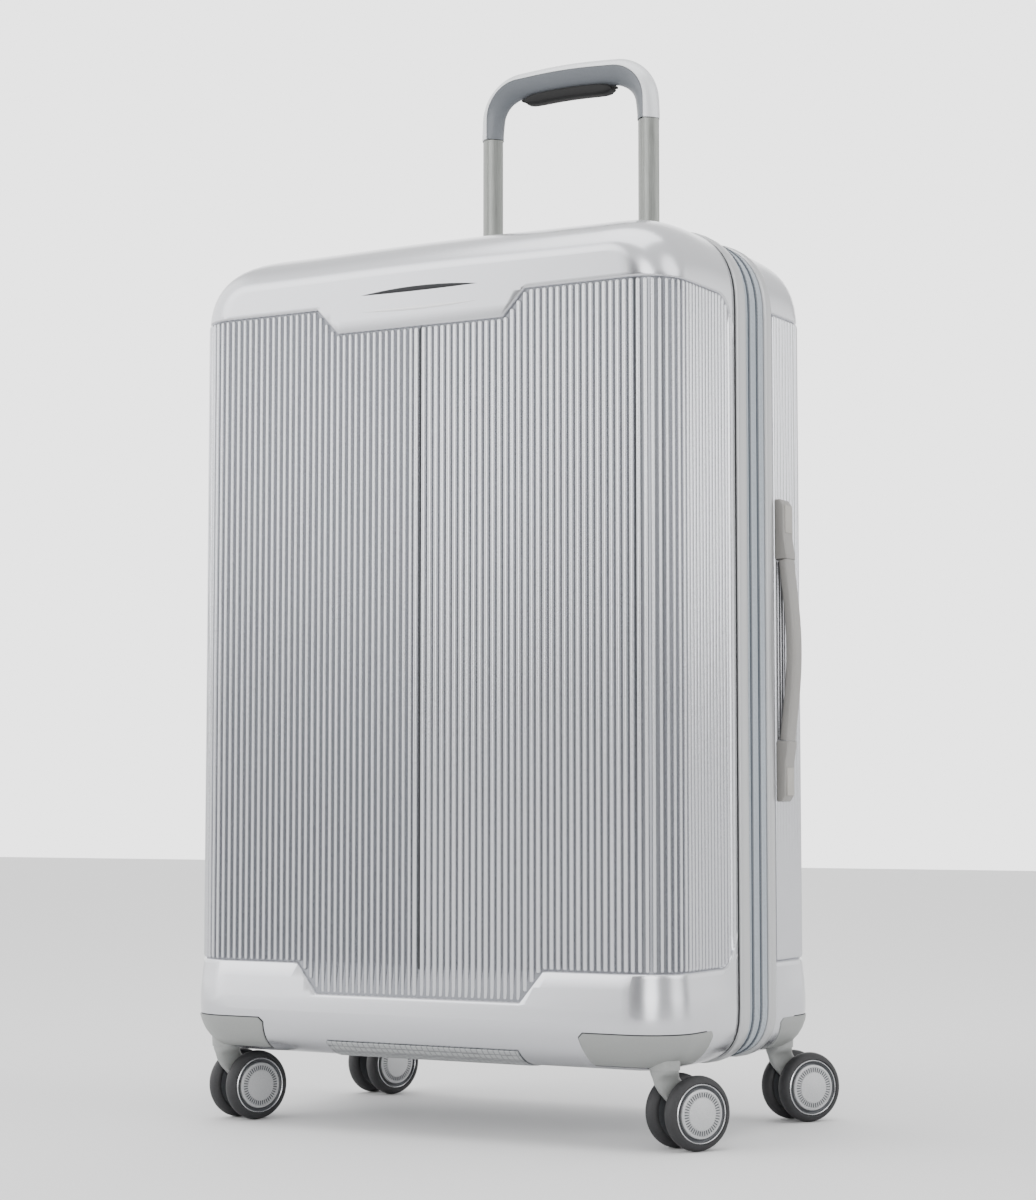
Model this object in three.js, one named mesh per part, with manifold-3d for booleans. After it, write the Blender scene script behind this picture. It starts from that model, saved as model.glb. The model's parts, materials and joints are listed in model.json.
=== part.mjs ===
// Hard shell spinner suitcase: two moulded half shells joined by a zipper, a depth expander,
// a three-part telescopic handle and four swivelling twin-wheel casters.
// Millimetres. +Z up, +X to the side that carries the grab handle, -Y the front face.
// The origin is on the floor, under the middle of the whole part's box.
import * as THREE from "three";
import { mergeVertices } from "three/addons/utils/BufferGeometryUtils.js";
import Module from "manifold-3d";

const wasm = await Module();
wasm.setup();

// ---- Driving dimensions ----
const HALF_WIDTH = 232;
const BASE_Z = 61; // underside of the shells
const TOP_Z = 755; // top of the shells at the corners
const CROWN = 1.5; // how much higher the middle of the top is
const CORNER_TOP = 72;
const CORNER_BASE = 44;
const WALL = 2.8;
const GAP = 0.3; // between faces that touch

// How far the middle of the whole part lies from the middle of the case
const CENTRE_X = 9;
const CENTRE_Y = 11;

// Depth stations, front to back
const FRONT_FACE_Y = -141;
const FRONT_EDGE_Y = -13;
const FRONT_RIM_Y = 6; // back of the front rim
const MAIN_ZIP_Y = 14;
const EXPANDER_ZIP_Y = 30;
const REAR_RIM_Y = 44;
const REAR_EDGE_Y = 58;
const BACK_FACE_Y = 146;

const RIM_PROUD = 1.2;
const RIM_DEPTH = 7; // rim thickness towards the inside
const TAPE_INSET = 1.4;
const TAPE_THICK = 1.6;

// Telescopic handle
const TUBE_X = 82;
const TUBE_Y = 126;
const INNER_TUBE = 10.6; // half diagonal of each tube's section
const MIDDLE_TUBE = 12.4;
const OUTER_TUBE = 14.2;
const TUBE_WALL = 1.3;
const LEG_TOP_Z = 896; // where the tubes enter the grip
const GRIP_TOP_Z = 955;
const GRIP_PARTING_Z = 944;
const GRIP_UNDER_Z = 927;
const GRIP_DEPTH = 25;
const RECESS_FLOOR_Z = 694;

// Casters
const STEM_X = 211;
const STEM_Y = 111;
const HOUSING_UNDER_Z = 66;
const HOUSING_TOP_Z = 92;
const HOUSING_IN_X = 153;
const HOUSING_IN_Y = 64; // distance from the middle where a housing ends on the side
const COLLAR_RADIUS = 13;
const STEM_RADIUS = 5.6;
const TRAIL = 22; // axle behind the swivel stem
const WHEEL_RADIUS = 29.6;
const TYRE_BORE = 22.2;
const WHEEL_INNER = 6.2; // nearest face of a wheel to the caster's middle plane
const WHEEL_WIDTH = 14;
const AXLE_RADIUS = 3;
const ARM_THICK = 9.4;

// ---- Materials ----
const paint = (color, roughness, metalness = 0) =>
  new THREE.MeshStandardMaterial({ color, roughness, metalness });
const MATERIALS = {
  silverShell: paint(0xc9cbce, 0.3, 0.3),
  greyTrim: paint(0xb4b4b4, 0.45),
  zipTape: paint(0xa9b2bb, 0.9),
  greyPlastic: paint(0x8e8f8e, 0.5),
  lightPlastic: paint(0xd6d7d8, 0.35),
  blackRubber: paint(0x1d1d1f, 0.7),
  aluminium: paint(0x9a9c9b, 0.35, 0.9),
  steel: paint(0xa0a0a0, 0.3, 1),
  tyre: paint(0x2a2a2b, 0.75),
  hub: paint(0xb8babb, 0.35, 0.5),
  lining: paint(0x6d7278, 0.95),
  webbing: paint(0x2c2e31, 0.9),
};

// ---- Solid helpers ----
// A closed mesh as a manifold solid.
function toSolid(geometry) {
  const bare = geometry.index ? geometry.toNonIndexed() : geometry.clone();
  for (const name of Object.keys(bare.attributes)) {
    if (name !== "position") bare.deleteAttribute(name);
  }
  const merged = mergeVertices(bare, 1e-4);
  return new wasm.Manifold(
    new wasm.Mesh({
      numProp: 3,
      vertProperties: merged.attributes.position.array,
      triVerts: new Uint32Array(merged.index.array),
    }),
  );
}

function toGeometry(solid) {
  const mesh = solid.getMesh();
  return new THREE.BufferGeometry()
    .setAttribute("position", new THREE.BufferAttribute(mesh.vertProperties, 3))
    .setIndex(new THREE.BufferAttribute(mesh.triVerts, 1));
}

function boxSolid(low, high) {
  const size = high.map((v, i) => v - low[i]);
  const geometry = new THREE.BoxGeometry(...size);
  geometry.translate(...low.map((v, i) => v + size[i] / 2));
  return toSolid(geometry);
}

// A cylinder along Z from low to high.
function cylinderSolid(radius, x, y, low, high, segments = 20) {
  const geometry = new THREE.CylinderGeometry(radius, radius, high - low, segments);
  geometry.rotateX(Math.PI / 2);
  geometry.translate(x, y, (low + high) / 2);
  return toSolid(geometry);
}

const group = new THREE.Group();
group.position.set(-CENTRE_X, -CENTRE_Y, 0);
function addPart(name, geometry, material, parent = group) {
  const mesh = new THREE.Mesh(geometry, MATERIALS[material]);
  mesh.name = name;
  parent.add(mesh);
  return mesh;
}

// ---- The case's outline ----
// Points round the case seen from the front, anticlockwise, moved in by the given insets.
function outline({ side = 0, top = 0, base = 0, steps = 5 }) {
  const half = HALF_WIDTH - side;
  const low = BASE_Z + base;
  const high = TOP_Z - top;
  const topRadius = Math.max(CORNER_TOP - 0.69 * (side + top), 12);
  const baseRadius = Math.max(CORNER_BASE - 0.5 * (side + base), 12);
  // The corners are squarer than a circle at the rims, and nearly round on the flat faces
  const bow = 2 / (2.55 - 0.0055 * Math.max(side + top, 0));
  const bend = (share) => Math.sign(share) * Math.pow(Math.abs(share), bow);
  const corners = [
    [half - topRadius, high - topRadius, topRadius, 0],
    [-(half - topRadius), high - topRadius, topRadius, 1],
    [-(half - baseRadius), low + baseRadius, baseRadius, 2],
    [half - baseRadius, low + baseRadius, baseRadius, 3],
  ];
  const points = [];
  for (const [x, z, radius, quarter] of corners) {
    for (let i = 0; i <= steps; i++) {
      const angle = ((quarter + i / steps) * Math.PI) / 2;
      const [across, up] = [bend(Math.cos(angle)), bend(Math.sin(angle))];
      points.push(new THREE.Vector2(x + radius * across, z + radius * up));
    }
    if (quarter === 0) {
      for (const share of [0.5, 0, -0.5]) {
        const crown = CROWN * (1 - share * share);
        points.push(new THREE.Vector2(share * (half - topRadius), high + crown));
      }
    }
  }
  return points;
}

// A closed solid through rings of equal point count; each ring is [y, outline points].
function loft(rings) {
  const positions = [];
  const count = rings[0][1].length;
  const at = (ring, i) => {
    const p = ring[1][i % count];
    return [p.x, ring[0], p.y];
  };
  const face = (a, b, c) => positions.push(...a, ...b, ...c);
  for (let k = 0; k + 1 < rings.length; k++) {
    for (let i = 0; i < count; i++) {
      face(at(rings[k], i), at(rings[k + 1], i), at(rings[k], i + 1));
      face(at(rings[k], i + 1), at(rings[k + 1], i), at(rings[k + 1], i + 1));
    }
  }
  const middle = (BASE_Z + TOP_Z) / 2;
  const last = rings[rings.length - 1];
  for (let i = 0; i < count; i++) {
    face([0, rings[0][0], middle], at(rings[0], i), at(rings[0], i + 1));
    face([0, last[0], middle], at(last, i + 1), at(last, i));
  }
  const geometry = new THREE.BufferGeometry();
  geometry.setAttribute("position", new THREE.Float32BufferAttribute(positions, 3));
  return geometry;
}

// How far a rounded edge has come in, at a distance past where it starts.
function roundOff(past, length, height) {
  const share = Math.min(Math.max(past / length, 0), 1);
  return height * (1 - Math.sqrt(1 - share * share));
}

// The rings of a half case from its edge to its flat face, grown outwards by `grow`.
// `dir` is -1 for the front half and 1 for the rear half.
function halfRings(edgeY, faceY, dir, rounding, grow, past = 0) {
  const depth = Math.abs(faceY - edgeY);
  const reach = depth + grow;
  const stations = [0, ...rounding.stations.map((left) => depth - left), depth];
  return stations.map((station, index) => {
    const share = index === stations.length - 1 ? reach : (station * reach) / depth;
    const y = index === 0 ? edgeY - dir * past : edgeY + dir * share;
    const inset = (r) => roundOff(station - (depth - r.length), r.length, r.height) - grow;
    return [
      y,
      outline({
        side: inset(rounding.side),
        top: inset(rounding.top),
        base: inset(rounding.base),
      }),
    ];
  });
}

const FRONT_ROUNDING = {
  stations: [90, 62, 40, 24, 12, 4],
  side: { length: 37, height: 37 },
  top: { length: 94, height: 40 },
  base: { length: 42, height: 38 },
};
const REAR_ROUNDING = {
  stations: [58, 36, 24, 12, 4],
  side: { length: 40, height: 40 },
  top: { length: 66, height: 17.6 },
  base: { length: 42, height: 38 },
};

// A half case filled solid; grow is 0 for the outer skin, less for the hollow inside.
function halfSolid(front, grow, past = 0) {
  const rings = front
    ? halfRings(FRONT_EDGE_Y - GAP, FRONT_FACE_Y, -1, FRONT_ROUNDING, grow, past)
    : halfRings(REAR_EDGE_Y + GAP, BACK_FACE_Y, 1, REAR_ROUNDING, grow, past);
  return toSolid(loft(front ? rings.reverse() : rings));
}

// The corner block that a caster's housing fills. sx and sy are the corner's signs.
function housingBlock(sx, sy, spare, low = HOUSING_UNDER_Z) {
  const xs = [sx * (HOUSING_IN_X - spare), sx * (HALF_WIDTH + 12)].sort((a, b) => a - b);
  const ys = [sy * (HOUSING_IN_Y - spare), sy * (BACK_FACE_Y + 12)].sort((a, b) => a - b);
  return boxSolid([xs[0], ys[0], low], [xs[1], ys[1], HOUSING_TOP_Z + spare]);
}

// ---- Half shells ----
function shell(front) {
  const sy = front ? -1 : 1;
  let solid = halfSolid(front, 0).subtract(halfSolid(front, -WALL, 1));
  for (const sx of [-1, 1]) {
    solid = solid.subtract(housingBlock(sx, sy, GAP, BASE_Z - 8));
  }
  return solid;
}

const RECESS = { halfX: 98, y0: 111, y1: 141 };
addPart("front_shell", toGeometry(shell(true)), "silverShell");
addPart(
  "rear_shell",
  toGeometry(
    shell(false)
      .subtract(
        boxSolid(
          [-RECESS.halfX - GAP, RECESS.y0 - GAP, TOP_Z - 40],
          [RECESS.halfX + GAP, RECESS.y1 + GAP, TOP_Z + 20],
        ),
      ),
  ),
  "silverShell",
);

// ---- Rims and zipper tapes: closed bands round the case ----
function band(y0, y1, proud, thick) {
  const rings = (grow, past) => [
    [y0 - past, outline({ side: -grow, top: -grow, base: -grow })],
    [y1 + past, outline({ side: -grow, top: -grow, base: -grow })],
  ];
  const outer = toSolid(loft(rings(proud, 0)));
  const inner = toSolid(loft(rings(proud - thick, 1)));
  return toGeometry(outer.subtract(inner));
}

addPart("front_rim", band(FRONT_EDGE_Y, FRONT_RIM_Y, RIM_PROUD, RIM_DEPTH), "greyTrim");
addPart("rear_rim", band(REAR_RIM_Y, REAR_EDGE_Y, RIM_PROUD, RIM_DEPTH), "greyTrim");
addPart(
  "front_zip_tape",
  band(FRONT_RIM_Y + GAP, MAIN_ZIP_Y - GAP / 2, -TAPE_INSET, TAPE_THICK),
  "zipTape",
);
addPart(
  "middle_zip_band",
  band(MAIN_ZIP_Y + GAP / 2, EXPANDER_ZIP_Y - GAP / 2, -TAPE_INSET, TAPE_THICK),
  "zipTape",
);
addPart(
  "rear_zip_tape",
  band(EXPANDER_ZIP_Y + GAP / 2, REAR_RIM_Y - GAP, -TAPE_INSET, TAPE_THICK),
  "zipTape",
);
// The expander's folded cloth lies inside the zipper tapes.
const GUSSET_INSET = TAPE_INSET + TAPE_THICK + GAP;
addPart(
  "expander_gusset",
  band(MAIN_ZIP_Y + 8, REAR_RIM_Y - GAP, -GUSSET_INSET, 15),
  "lining",
);
// Cloth strip on which the front half hinges.
addPart(
  "hinge_tape",
  new THREE.BoxGeometry(1, 7, 480).translate(
    -HALF_WIDTH - RIM_PROUD - 0.9,
    MAIN_ZIP_Y + 4.5,
    (BASE_Z + TOP_Z) / 2,
  ),
  "zipTape",
);

// ---- Linings: thin trays just inside the shells, above the caster housings ----
const LINING_BASE_Z = HOUSING_TOP_Z + 4;
const LINING_THICK = 1.2;
const REAR_LINING_Y = 108; // its floor, in front of the handle's tubes

function lining(front) {
  const edge = front ? FRONT_EDGE_Y : REAR_EDGE_Y;
  const floor = front ? FRONT_FACE_Y + WALL + 1 : REAR_LINING_Y;
  const inside = (inset) => {
    const past = front ? [floor + inset, edge + inset] : [edge - inset, floor - inset];
    const half = HALF_WIDTH + 20;
    const low = [-half, past[0], LINING_BASE_Z + inset];
    return halfSolid(front, -WALL - 1 - inset, inset).intersect(
      boxSolid(low, [half, past[1], TOP_Z + 20]),
    );
  };
  return toGeometry(inside(0).subtract(inside(LINING_THICK)));
}
addPart("front_lining", lining(true), "lining");
addPart("rear_lining", lining(false), "lining");

// The zipped panel between the two halves.
const divider = { side: 14, top: 14, base: LINING_BASE_Z - BASE_Z };
addPart("divider", loft([[-4, outline(divider)], [-1.5, outline(divider)]]), "lining");

// ---- Telescopic handle ----
// A tube's section: a square on its corner, with rounded side corners and a front and back ridge.
function tubeShape(half, round) {
  const shape = new THREE.Shape();
  shape.moveTo(0, -half);
  shape.lineTo(half - round, -round);
  shape.quadraticCurveTo(half, 0, half - round, round);
  shape.lineTo(0, half);
  shape.lineTo(-(half - round), round);
  shape.quadraticCurveTo(-half, 0, -(half - round), -round);
  shape.closePath();
  return shape;
}

function tube(half, low, high) {
  const shape = tubeShape(half, 3.4);
  const bore = tubeShape(half - TUBE_WALL, 3);
  shape.holes.push(new THREE.Path(bore.getPoints(4).reverse()));
  const geometry = new THREE.ExtrudeGeometry(shape, {
    depth: high - low,
    bevelEnabled: false,
    curveSegments: 4,
  });
  geometry.translate(0, 0, low);
  return geometry;
}

// A solid bar of the tubes' section, in the place of the left (-1) or right (1) tube.
function tubeSolid(half, sx, low, high) {
  const options = { depth: high - low, bevelEnabled: false, curveSegments: 4 };
  const geometry = new THREE.ExtrudeGeometry(tubeShape(half, 3.4), options);
  return toSolid(geometry.translate(sx * TUBE_X, TUBE_Y, low));
}

const SIDES = [
  ["left", -1],
  ["right", 1],
];
const FOOT = { low: 104, high: 118, spare: 8 };
const OUTER_TOP_Z = RECESS_FLOOR_Z - GAP;
for (const [side, sx] of SIDES) {
  const place = (mesh) => mesh.position.set(sx * TUBE_X, TUBE_Y, 0);
  place(addPart(`outer_tube_${side}`, tube(OUTER_TUBE, FOOT.low - 6, OUTER_TOP_Z), "aluminium"));
  place(addPart(`middle_tube_${side}`, tube(MIDDLE_TUBE, 240, 690), "aluminium"));
  place(addPart(`inner_tube_${side}`, tube(INNER_TUBE, 452, LEG_TOP_Z - GAP), "aluminium"));
}
// The foot bar that holds both outer tubes at the bottom.
addPart(
  "tube_foot",
  toGeometry(
    boxSolid(
      [-TUBE_X - OUTER_TUBE - FOOT.spare, TUBE_Y - OUTER_TUBE - 1, FOOT.low],
      [TUBE_X + OUTER_TUBE + FOOT.spare, TUBE_Y + OUTER_TUBE + 1, FOOT.high],
    )
      .subtract(tubeSolid(OUTER_TUBE + GAP, -1, FOOT.low - 20, FOOT.high + 20))
      .subtract(tubeSolid(OUTER_TUBE + GAP, 1, FOOT.low - 20, FOOT.high + 20)),
  ),
  "greyPlastic",
);

// The cup in the top that the grip sinks into, with holes for the tubes in its floor.
function handleCup() {
  const high = TOP_Z + CROWN + 1;
  let cup = boxSolid(
    [-RECESS.halfX, RECESS.y0, RECESS_FLOOR_Z],
    [RECESS.halfX, RECESS.y1, high],
  ).subtract(
    boxSolid(
      [-RECESS.halfX + 1.8, RECESS.y0 + 1.8, RECESS_FLOOR_Z + 3],
      [RECESS.halfX - 1.8, RECESS.y1 - 1.8, high + 5],
    ),
  );
  for (const [, sx] of SIDES) {
    cup = cup.subtract(
      tubeSolid(MIDDLE_TUBE + 0.5, sx, RECESS_FLOOR_Z - 8, RECESS_FLOOR_Z + 12),
    );
  }
  return toGeometry(cup.intersect(halfSolid(false, 1)));
}
addPart("handle_cup", handleCup(), "greyPlastic");

// The grip's arch between two offsets from its parting line, seen from the front.
function archShape(legOut, legIn, topZ, underZ, outRadius, inRadius) {
  const shape = new THREE.Shape();
  shape.moveTo(legOut, LEG_TOP_Z);
  shape.lineTo(legOut, topZ - outRadius);
  shape.quadraticCurveTo(legOut, topZ - 4, legOut - outRadius, topZ - 2);
  shape.quadraticCurveTo(0, topZ + 2, -(legOut - outRadius), topZ - 2);
  shape.quadraticCurveTo(-legOut, topZ - 4, -legOut, topZ - outRadius);
  shape.lineTo(-legOut, LEG_TOP_Z);
  shape.lineTo(-legIn, LEG_TOP_Z);
  shape.lineTo(-legIn, underZ - inRadius);
  shape.quadraticCurveTo(-legIn, underZ - 3, -(legIn - inRadius), underZ - 2);
  shape.quadraticCurveTo(0, underZ + 2, legIn - inRadius, underZ - 2);
  shape.quadraticCurveTo(legIn, underZ - 3, legIn, underZ - inRadius);
  shape.lineTo(legIn, LEG_TOP_Z);
  shape.closePath();
  return shape;
}

function archGeometry(shape, depth) {
  const geometry = new THREE.ExtrudeGeometry(shape, {
    depth,
    bevelEnabled: false,
    curveSegments: 6,
  });
  geometry.rotateX(Math.PI / 2);
  geometry.translate(0, TUBE_Y + depth / 2, 0);
  return geometry;
}

const LEG_OUT = TUBE_X + 11;
const LEG_IN = TUBE_X - 10;
const LEG_PARTING = TUBE_X + 1;
addPart(
  "grip_top",
  archGeometry(archShape(LEG_OUT, LEG_PARTING + GAP, GRIP_TOP_Z, GRIP_PARTING_Z + GAP, 46, 36), 22),
  "lightPlastic",
);
const BUTTON = { halfX: 42, low: 915, high: 930, depth: 15 };
const BUTTON_POCKET_Z = BUTTON.high + 5;
addPart(
  "grip_under",
  toGeometry(
    toSolid(
      archGeometry(archShape(LEG_PARTING, LEG_IN, GRIP_PARTING_Z, GRIP_UNDER_Z, 36, 26), GRIP_DEPTH),
    ).subtract(
      boxSolid(
        [-BUTTON.halfX - 0.5, TUBE_Y - BUTTON.depth / 2 - 0.5, GRIP_UNDER_Z - 10],
        [BUTTON.halfX + 0.5, TUBE_Y + BUTTON.depth / 2 + 0.5, BUTTON_POCKET_Z],
      ),
    ),
  ),
  "greyPlastic",
);
addPart(
  "release_button",
  new THREE.BoxGeometry(
    2 * BUTTON.halfX,
    BUTTON.depth,
    BUTTON.high - BUTTON.low,
  ).translate(0, TUBE_Y, (BUTTON.high + BUTTON.low) / 2),
  "blackRubber",
);

// ---- Carry handles ----
// Built along local X with its face at local z = 0, then turned into place.
const CARRY = { half: 129, mount: 52, width: 18, rise: 16.5, thick: 9.2, foot: 7.2 };

function carryMount(sx) {
  const shape = new THREE.Shape();
  const inner = CARRY.half - CARRY.mount + 0.4;
  shape.moveTo(CARRY.half, 0);
  shape.lineTo(CARRY.half - 2, CARRY.foot - 1);
  shape.lineTo(CARRY.half - 5, CARRY.foot);
  shape.lineTo(inner, CARRY.foot + 3.5);
  shape.lineTo(inner, 0);
  shape.closePath();
  const geometry = new THREE.ExtrudeGeometry(shape, {
    depth: CARRY.width,
    bevelEnabled: false,
  });
  geometry.rotateX(Math.PI / 2);
  geometry.translate(0, CARRY.width / 2, 0);
  if (sx < 0) geometry.rotateZ(Math.PI);
  return geometry;
}

function carryGrip() {
  const end = CARRY.half - CARRY.mount - 0.4;
  const shape = new THREE.Shape();
  shape.moveTo(end, 1);
  shape.lineTo(end, CARRY.foot + 3.5);
  shape.quadraticCurveTo(end / 2, CARRY.rise, 0, CARRY.rise);
  shape.quadraticCurveTo(-end / 2, CARRY.rise, -end, CARRY.foot + 3.5);
  shape.lineTo(-end, 1);
  shape.lineTo(-end + 16, 2.4);
  shape.quadraticCurveTo(-end / 2, CARRY.rise - CARRY.thick, 0, CARRY.rise - CARRY.thick);
  shape.quadraticCurveTo(end / 2, CARRY.rise - CARRY.thick, end - 16, 2.4);
  shape.closePath();
  const geometry = new THREE.ExtrudeGeometry(shape, {
    depth: CARRY.width,
    bevelEnabled: false,
    curveSegments: 5,
  });
  geometry.rotateX(Math.PI / 2);
  geometry.translate(0, CARRY.width / 2, 0);
  return geometry;
}

function carryHandle(name, position, rotation) {
  const holder = new THREE.Group();
  holder.position.set(...position);
  holder.rotation.set(...rotation);
  group.add(holder);
  addPart(`${name}_mount_a`, carryMount(1), "greyPlastic", holder);
  addPart(`${name}_mount_b`, carryMount(-1), "greyPlastic", holder);
  addPart(`${name}_grip`, carryGrip(), "greyPlastic", holder);
}
const SIDE_HANDLE_Z = 403;
const HANDLE_Y = 74;
carryHandle("side_handle", [HALF_WIDTH + GAP, HANDLE_Y, SIDE_HANDLE_Z], [0, Math.PI / 2, 0]);
carryHandle("top_handle", [0, HANDLE_Y + 8, TOP_Z + CROWN + GAP], [0, 0, 0]);

// ---- Lock and zipper slider on the top, and the grab strip under the front edge ----
const LOCK = { x: -149, y: 69, halfX: 17, halfY: 9, low: TOP_Z + 0.8, high: TOP_Z + 7.4 };
addPart(
  "lock_body",
  toGeometry(
    boxSolid(
      [LOCK.x - LOCK.halfX, LOCK.y - LOCK.halfY, LOCK.low],
      [LOCK.x + LOCK.halfX, LOCK.y + LOCK.halfY, LOCK.high],
    ),
  ),
  "greyPlastic",
);

const SLIDER = { x: -149, halfX: 7, low: TOP_Z + 0.6, high: TOP_Z + 4.5 };
addPart(
  "zip_slider",
  toGeometry(
    boxSolid(
      [SLIDER.x - SLIDER.halfX, FRONT_RIM_Y + 2 * GAP, SLIDER.low],
      [SLIDER.x + SLIDER.halfX, MAIN_ZIP_Y - 2 * GAP, SLIDER.high],
    ),
  ),
  "steel",
);

const GRAB = { halfX: 92, top: 74, back: -92, thick: 1.2 };
addPart(
  "bottom_grip",
  toGeometry(
    halfSolid(true, GRAB.thick)
      .intersect(
        boxSolid([-GRAB.halfX, FRONT_FACE_Y - 5, BASE_Z - 5], [GRAB.halfX, GRAB.back, GRAB.top]),
      )
      .subtract(halfSolid(true, GAP)),
  ),
  "greyPlastic",
);

// ---- Casters ----
function tyreGeometry() {
  const half = WHEEL_WIDTH / 2;
  const profile = [
    [TYRE_BORE, -half],
    [WHEEL_RADIUS - 3.6, -half],
    [WHEEL_RADIUS - 0.9, -half + 2.6],
    [WHEEL_RADIUS, 0],
    [WHEEL_RADIUS - 0.9, half - 2.6],
    [WHEEL_RADIUS - 3.6, half],
    [TYRE_BORE, half],
    [TYRE_BORE, -half],
  ].map(([r, y]) => new THREE.Vector2(r, y));
  return new THREE.LatheGeometry(profile, 24);
}

function hubGeometry(outward) {
  const half = WHEEL_WIDTH / 2;
  const rim = TYRE_BORE - GAP;
  const bore = AXLE_RADIUS + GAP;
  const profile = [
    [bore, -half + 1],
    [rim, -half + 1],
    [rim, half - 0.6],
    [rim - 4, half - 0.6],
    [rim - 5, half + 0.6],
    [0, half + 0.9],
    [0, half - 3],
    [bore, half - 3],
    [bore, -half + 1],
  ].map(([r, y]) => new THREE.Vector2(r, y));
  const geometry = new THREE.LatheGeometry(profile, 24);
  if (outward < 0) geometry.rotateX(Math.PI);
  return geometry;
}

// The fork in the caster's own frame: stem on Z, wheels trailing along +X, axle along Y.
function forkGeometry() {
  const arm = new THREE.Shape();
  arm.moveTo(-11, 60);
  arm.lineTo(11, 60);
  arm.quadraticCurveTo(12, 56, 22, 53);
  arm.quadraticCurveTo(30, 49, 32, 42);
  arm.lineTo(TRAIL + 8, WHEEL_RADIUS + 2);
  arm.absarc(TRAIL, WHEEL_RADIUS, 8, 0, -Math.PI, true);
  arm.quadraticCurveTo(-8, 38, -11, 60);
  const plate = new THREE.ExtrudeGeometry(arm, {
    depth: ARM_THICK,
    bevelEnabled: false,
    curveSegments: 6,
  });
  plate.rotateX(Math.PI / 2);
  plate.translate(0, ARM_THICK / 2, 0);
  const bore = new THREE.CylinderGeometry(AXLE_RADIUS + GAP, AXLE_RADIUS + GAP, 30, 12);
  bore.translate(TRAIL, 0, WHEEL_RADIUS);
  const neck = cylinderSolid(11, 0, 0, 2 * WHEEL_RADIUS - 1, HOUSING_UNDER_Z - GAP, 16);
  const stem = cylinderSolid(STEM_RADIUS, 0, 0, 60, HOUSING_TOP_Z - 6, 12);
  return toGeometry(toSolid(plate).add(neck).add(stem).subtract(toSolid(bore)));
}

// Each caster: name, corner signs, and the direction its wheels trail in, in degrees from +X.
const CASTERS = [
  ["front_right", 1, -1, 61],
  ["front_left", -1, -1, 68],
  ["rear_right", 1, 1, 57],
  ["rear_left", -1, 1, 73],
];
for (const [name, sx, sy, heading] of CASTERS) {
  const front = sy < 0;
  const stem = [sx * STEM_X, sy * STEM_Y, HOUSING_UNDER_Z];
  const housing = halfSolid(front, 1)
    .intersect(housingBlock(sx, sy, 0))
    .add(cylinderSolid(COLLAR_RADIUS, ...stem, HOUSING_TOP_Z - 3, 16))
    .subtract(cylinderSolid(STEM_RADIUS + 0.4, stem[0], stem[1], BASE_Z, HOUSING_TOP_Z - 4, 12));
  addPart(`housing_${name}`, toGeometry(housing), "greyPlastic");

  const caster = new THREE.Group();
  caster.position.set(sx * STEM_X, sy * STEM_Y, 0);
  caster.rotation.z = (heading * Math.PI) / 180;
  group.add(caster);
  addPart(`fork_${name}`, forkGeometry(), "greyPlastic", caster);
  const axle = new THREE.CylinderGeometry(AXLE_RADIUS, AXLE_RADIUS, 30, 12);
  addPart(`axle_${name}`, axle, "steel", caster).position.set(TRAIL, 0, WHEEL_RADIUS);
  for (const [label, dir] of [
    ["a", -1],
    ["b", 1],
  ]) {
    const offset = dir * (WHEEL_INNER + WHEEL_WIDTH / 2);
    const place = (mesh) => mesh.position.set(TRAIL, offset, WHEEL_RADIUS);
    place(addPart(`tyre_${name}_${label}`, tyreGeometry(), "tyre", caster));
    place(addPart(`hub_${name}_${label}`, hubGeometry(dir), "hub", caster));
  }
}

export default group;
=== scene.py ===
"""Looks of a hard shell spinner suitcase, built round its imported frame.

Shapes are worked out in millimetres about the middle of the case (x across, y front to back,
z up from the floor) and placed in the frame's metres when a piece is finished.
"""

import json
from math import atan2, cos, pi, radians, sin, sqrt

import bmesh
import bpy
from mathutils import Matrix, Vector


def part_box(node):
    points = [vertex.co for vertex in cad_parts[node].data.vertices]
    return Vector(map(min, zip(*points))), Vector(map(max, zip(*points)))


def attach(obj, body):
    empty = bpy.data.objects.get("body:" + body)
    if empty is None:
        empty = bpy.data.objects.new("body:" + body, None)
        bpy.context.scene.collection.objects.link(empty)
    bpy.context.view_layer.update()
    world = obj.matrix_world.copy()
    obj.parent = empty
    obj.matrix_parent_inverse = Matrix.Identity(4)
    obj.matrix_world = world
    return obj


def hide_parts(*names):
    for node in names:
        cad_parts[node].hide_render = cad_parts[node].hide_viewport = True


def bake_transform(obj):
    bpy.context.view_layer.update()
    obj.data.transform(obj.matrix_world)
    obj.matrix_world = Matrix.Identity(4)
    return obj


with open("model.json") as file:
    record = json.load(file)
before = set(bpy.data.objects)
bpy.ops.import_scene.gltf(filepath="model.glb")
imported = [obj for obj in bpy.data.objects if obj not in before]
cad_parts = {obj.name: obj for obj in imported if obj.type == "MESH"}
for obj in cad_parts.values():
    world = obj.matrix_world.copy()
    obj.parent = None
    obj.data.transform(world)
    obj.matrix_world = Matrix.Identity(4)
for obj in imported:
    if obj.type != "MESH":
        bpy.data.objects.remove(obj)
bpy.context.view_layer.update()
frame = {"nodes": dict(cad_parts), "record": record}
JOINTS = {joint["name"]: joint for joint in frame["record"]["behaviour"]["joints"]}

# ---- Driving dimensions, mm ----
HALF_WIDTH = 232
BASE_Z, TOP_Z = 61, 755
CROWN = 1.5
CORNER_TOP, CORNER_BASE = 72, 44
FRONT_Y, FRONT_EDGE_Y = -141, -17.2
BACK_Y, REAR_EDGE_Y = 146, 58.3
FRONT_RIM = (-12.8, 5.8)
REAR_RIM = (44.2, 57.9)
MAIN_ZIP_Y, EXPANDER_ZIP_Y = 14, 30
SIDE_ROUND, REAR_SIDE_ROUND = 37, 40
TOP_ROUND, REAR_TOP_ROUND = (94, 40), (66, 17.6)  # along the depth, then down
BASE_ROUND = (42, 38)

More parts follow.
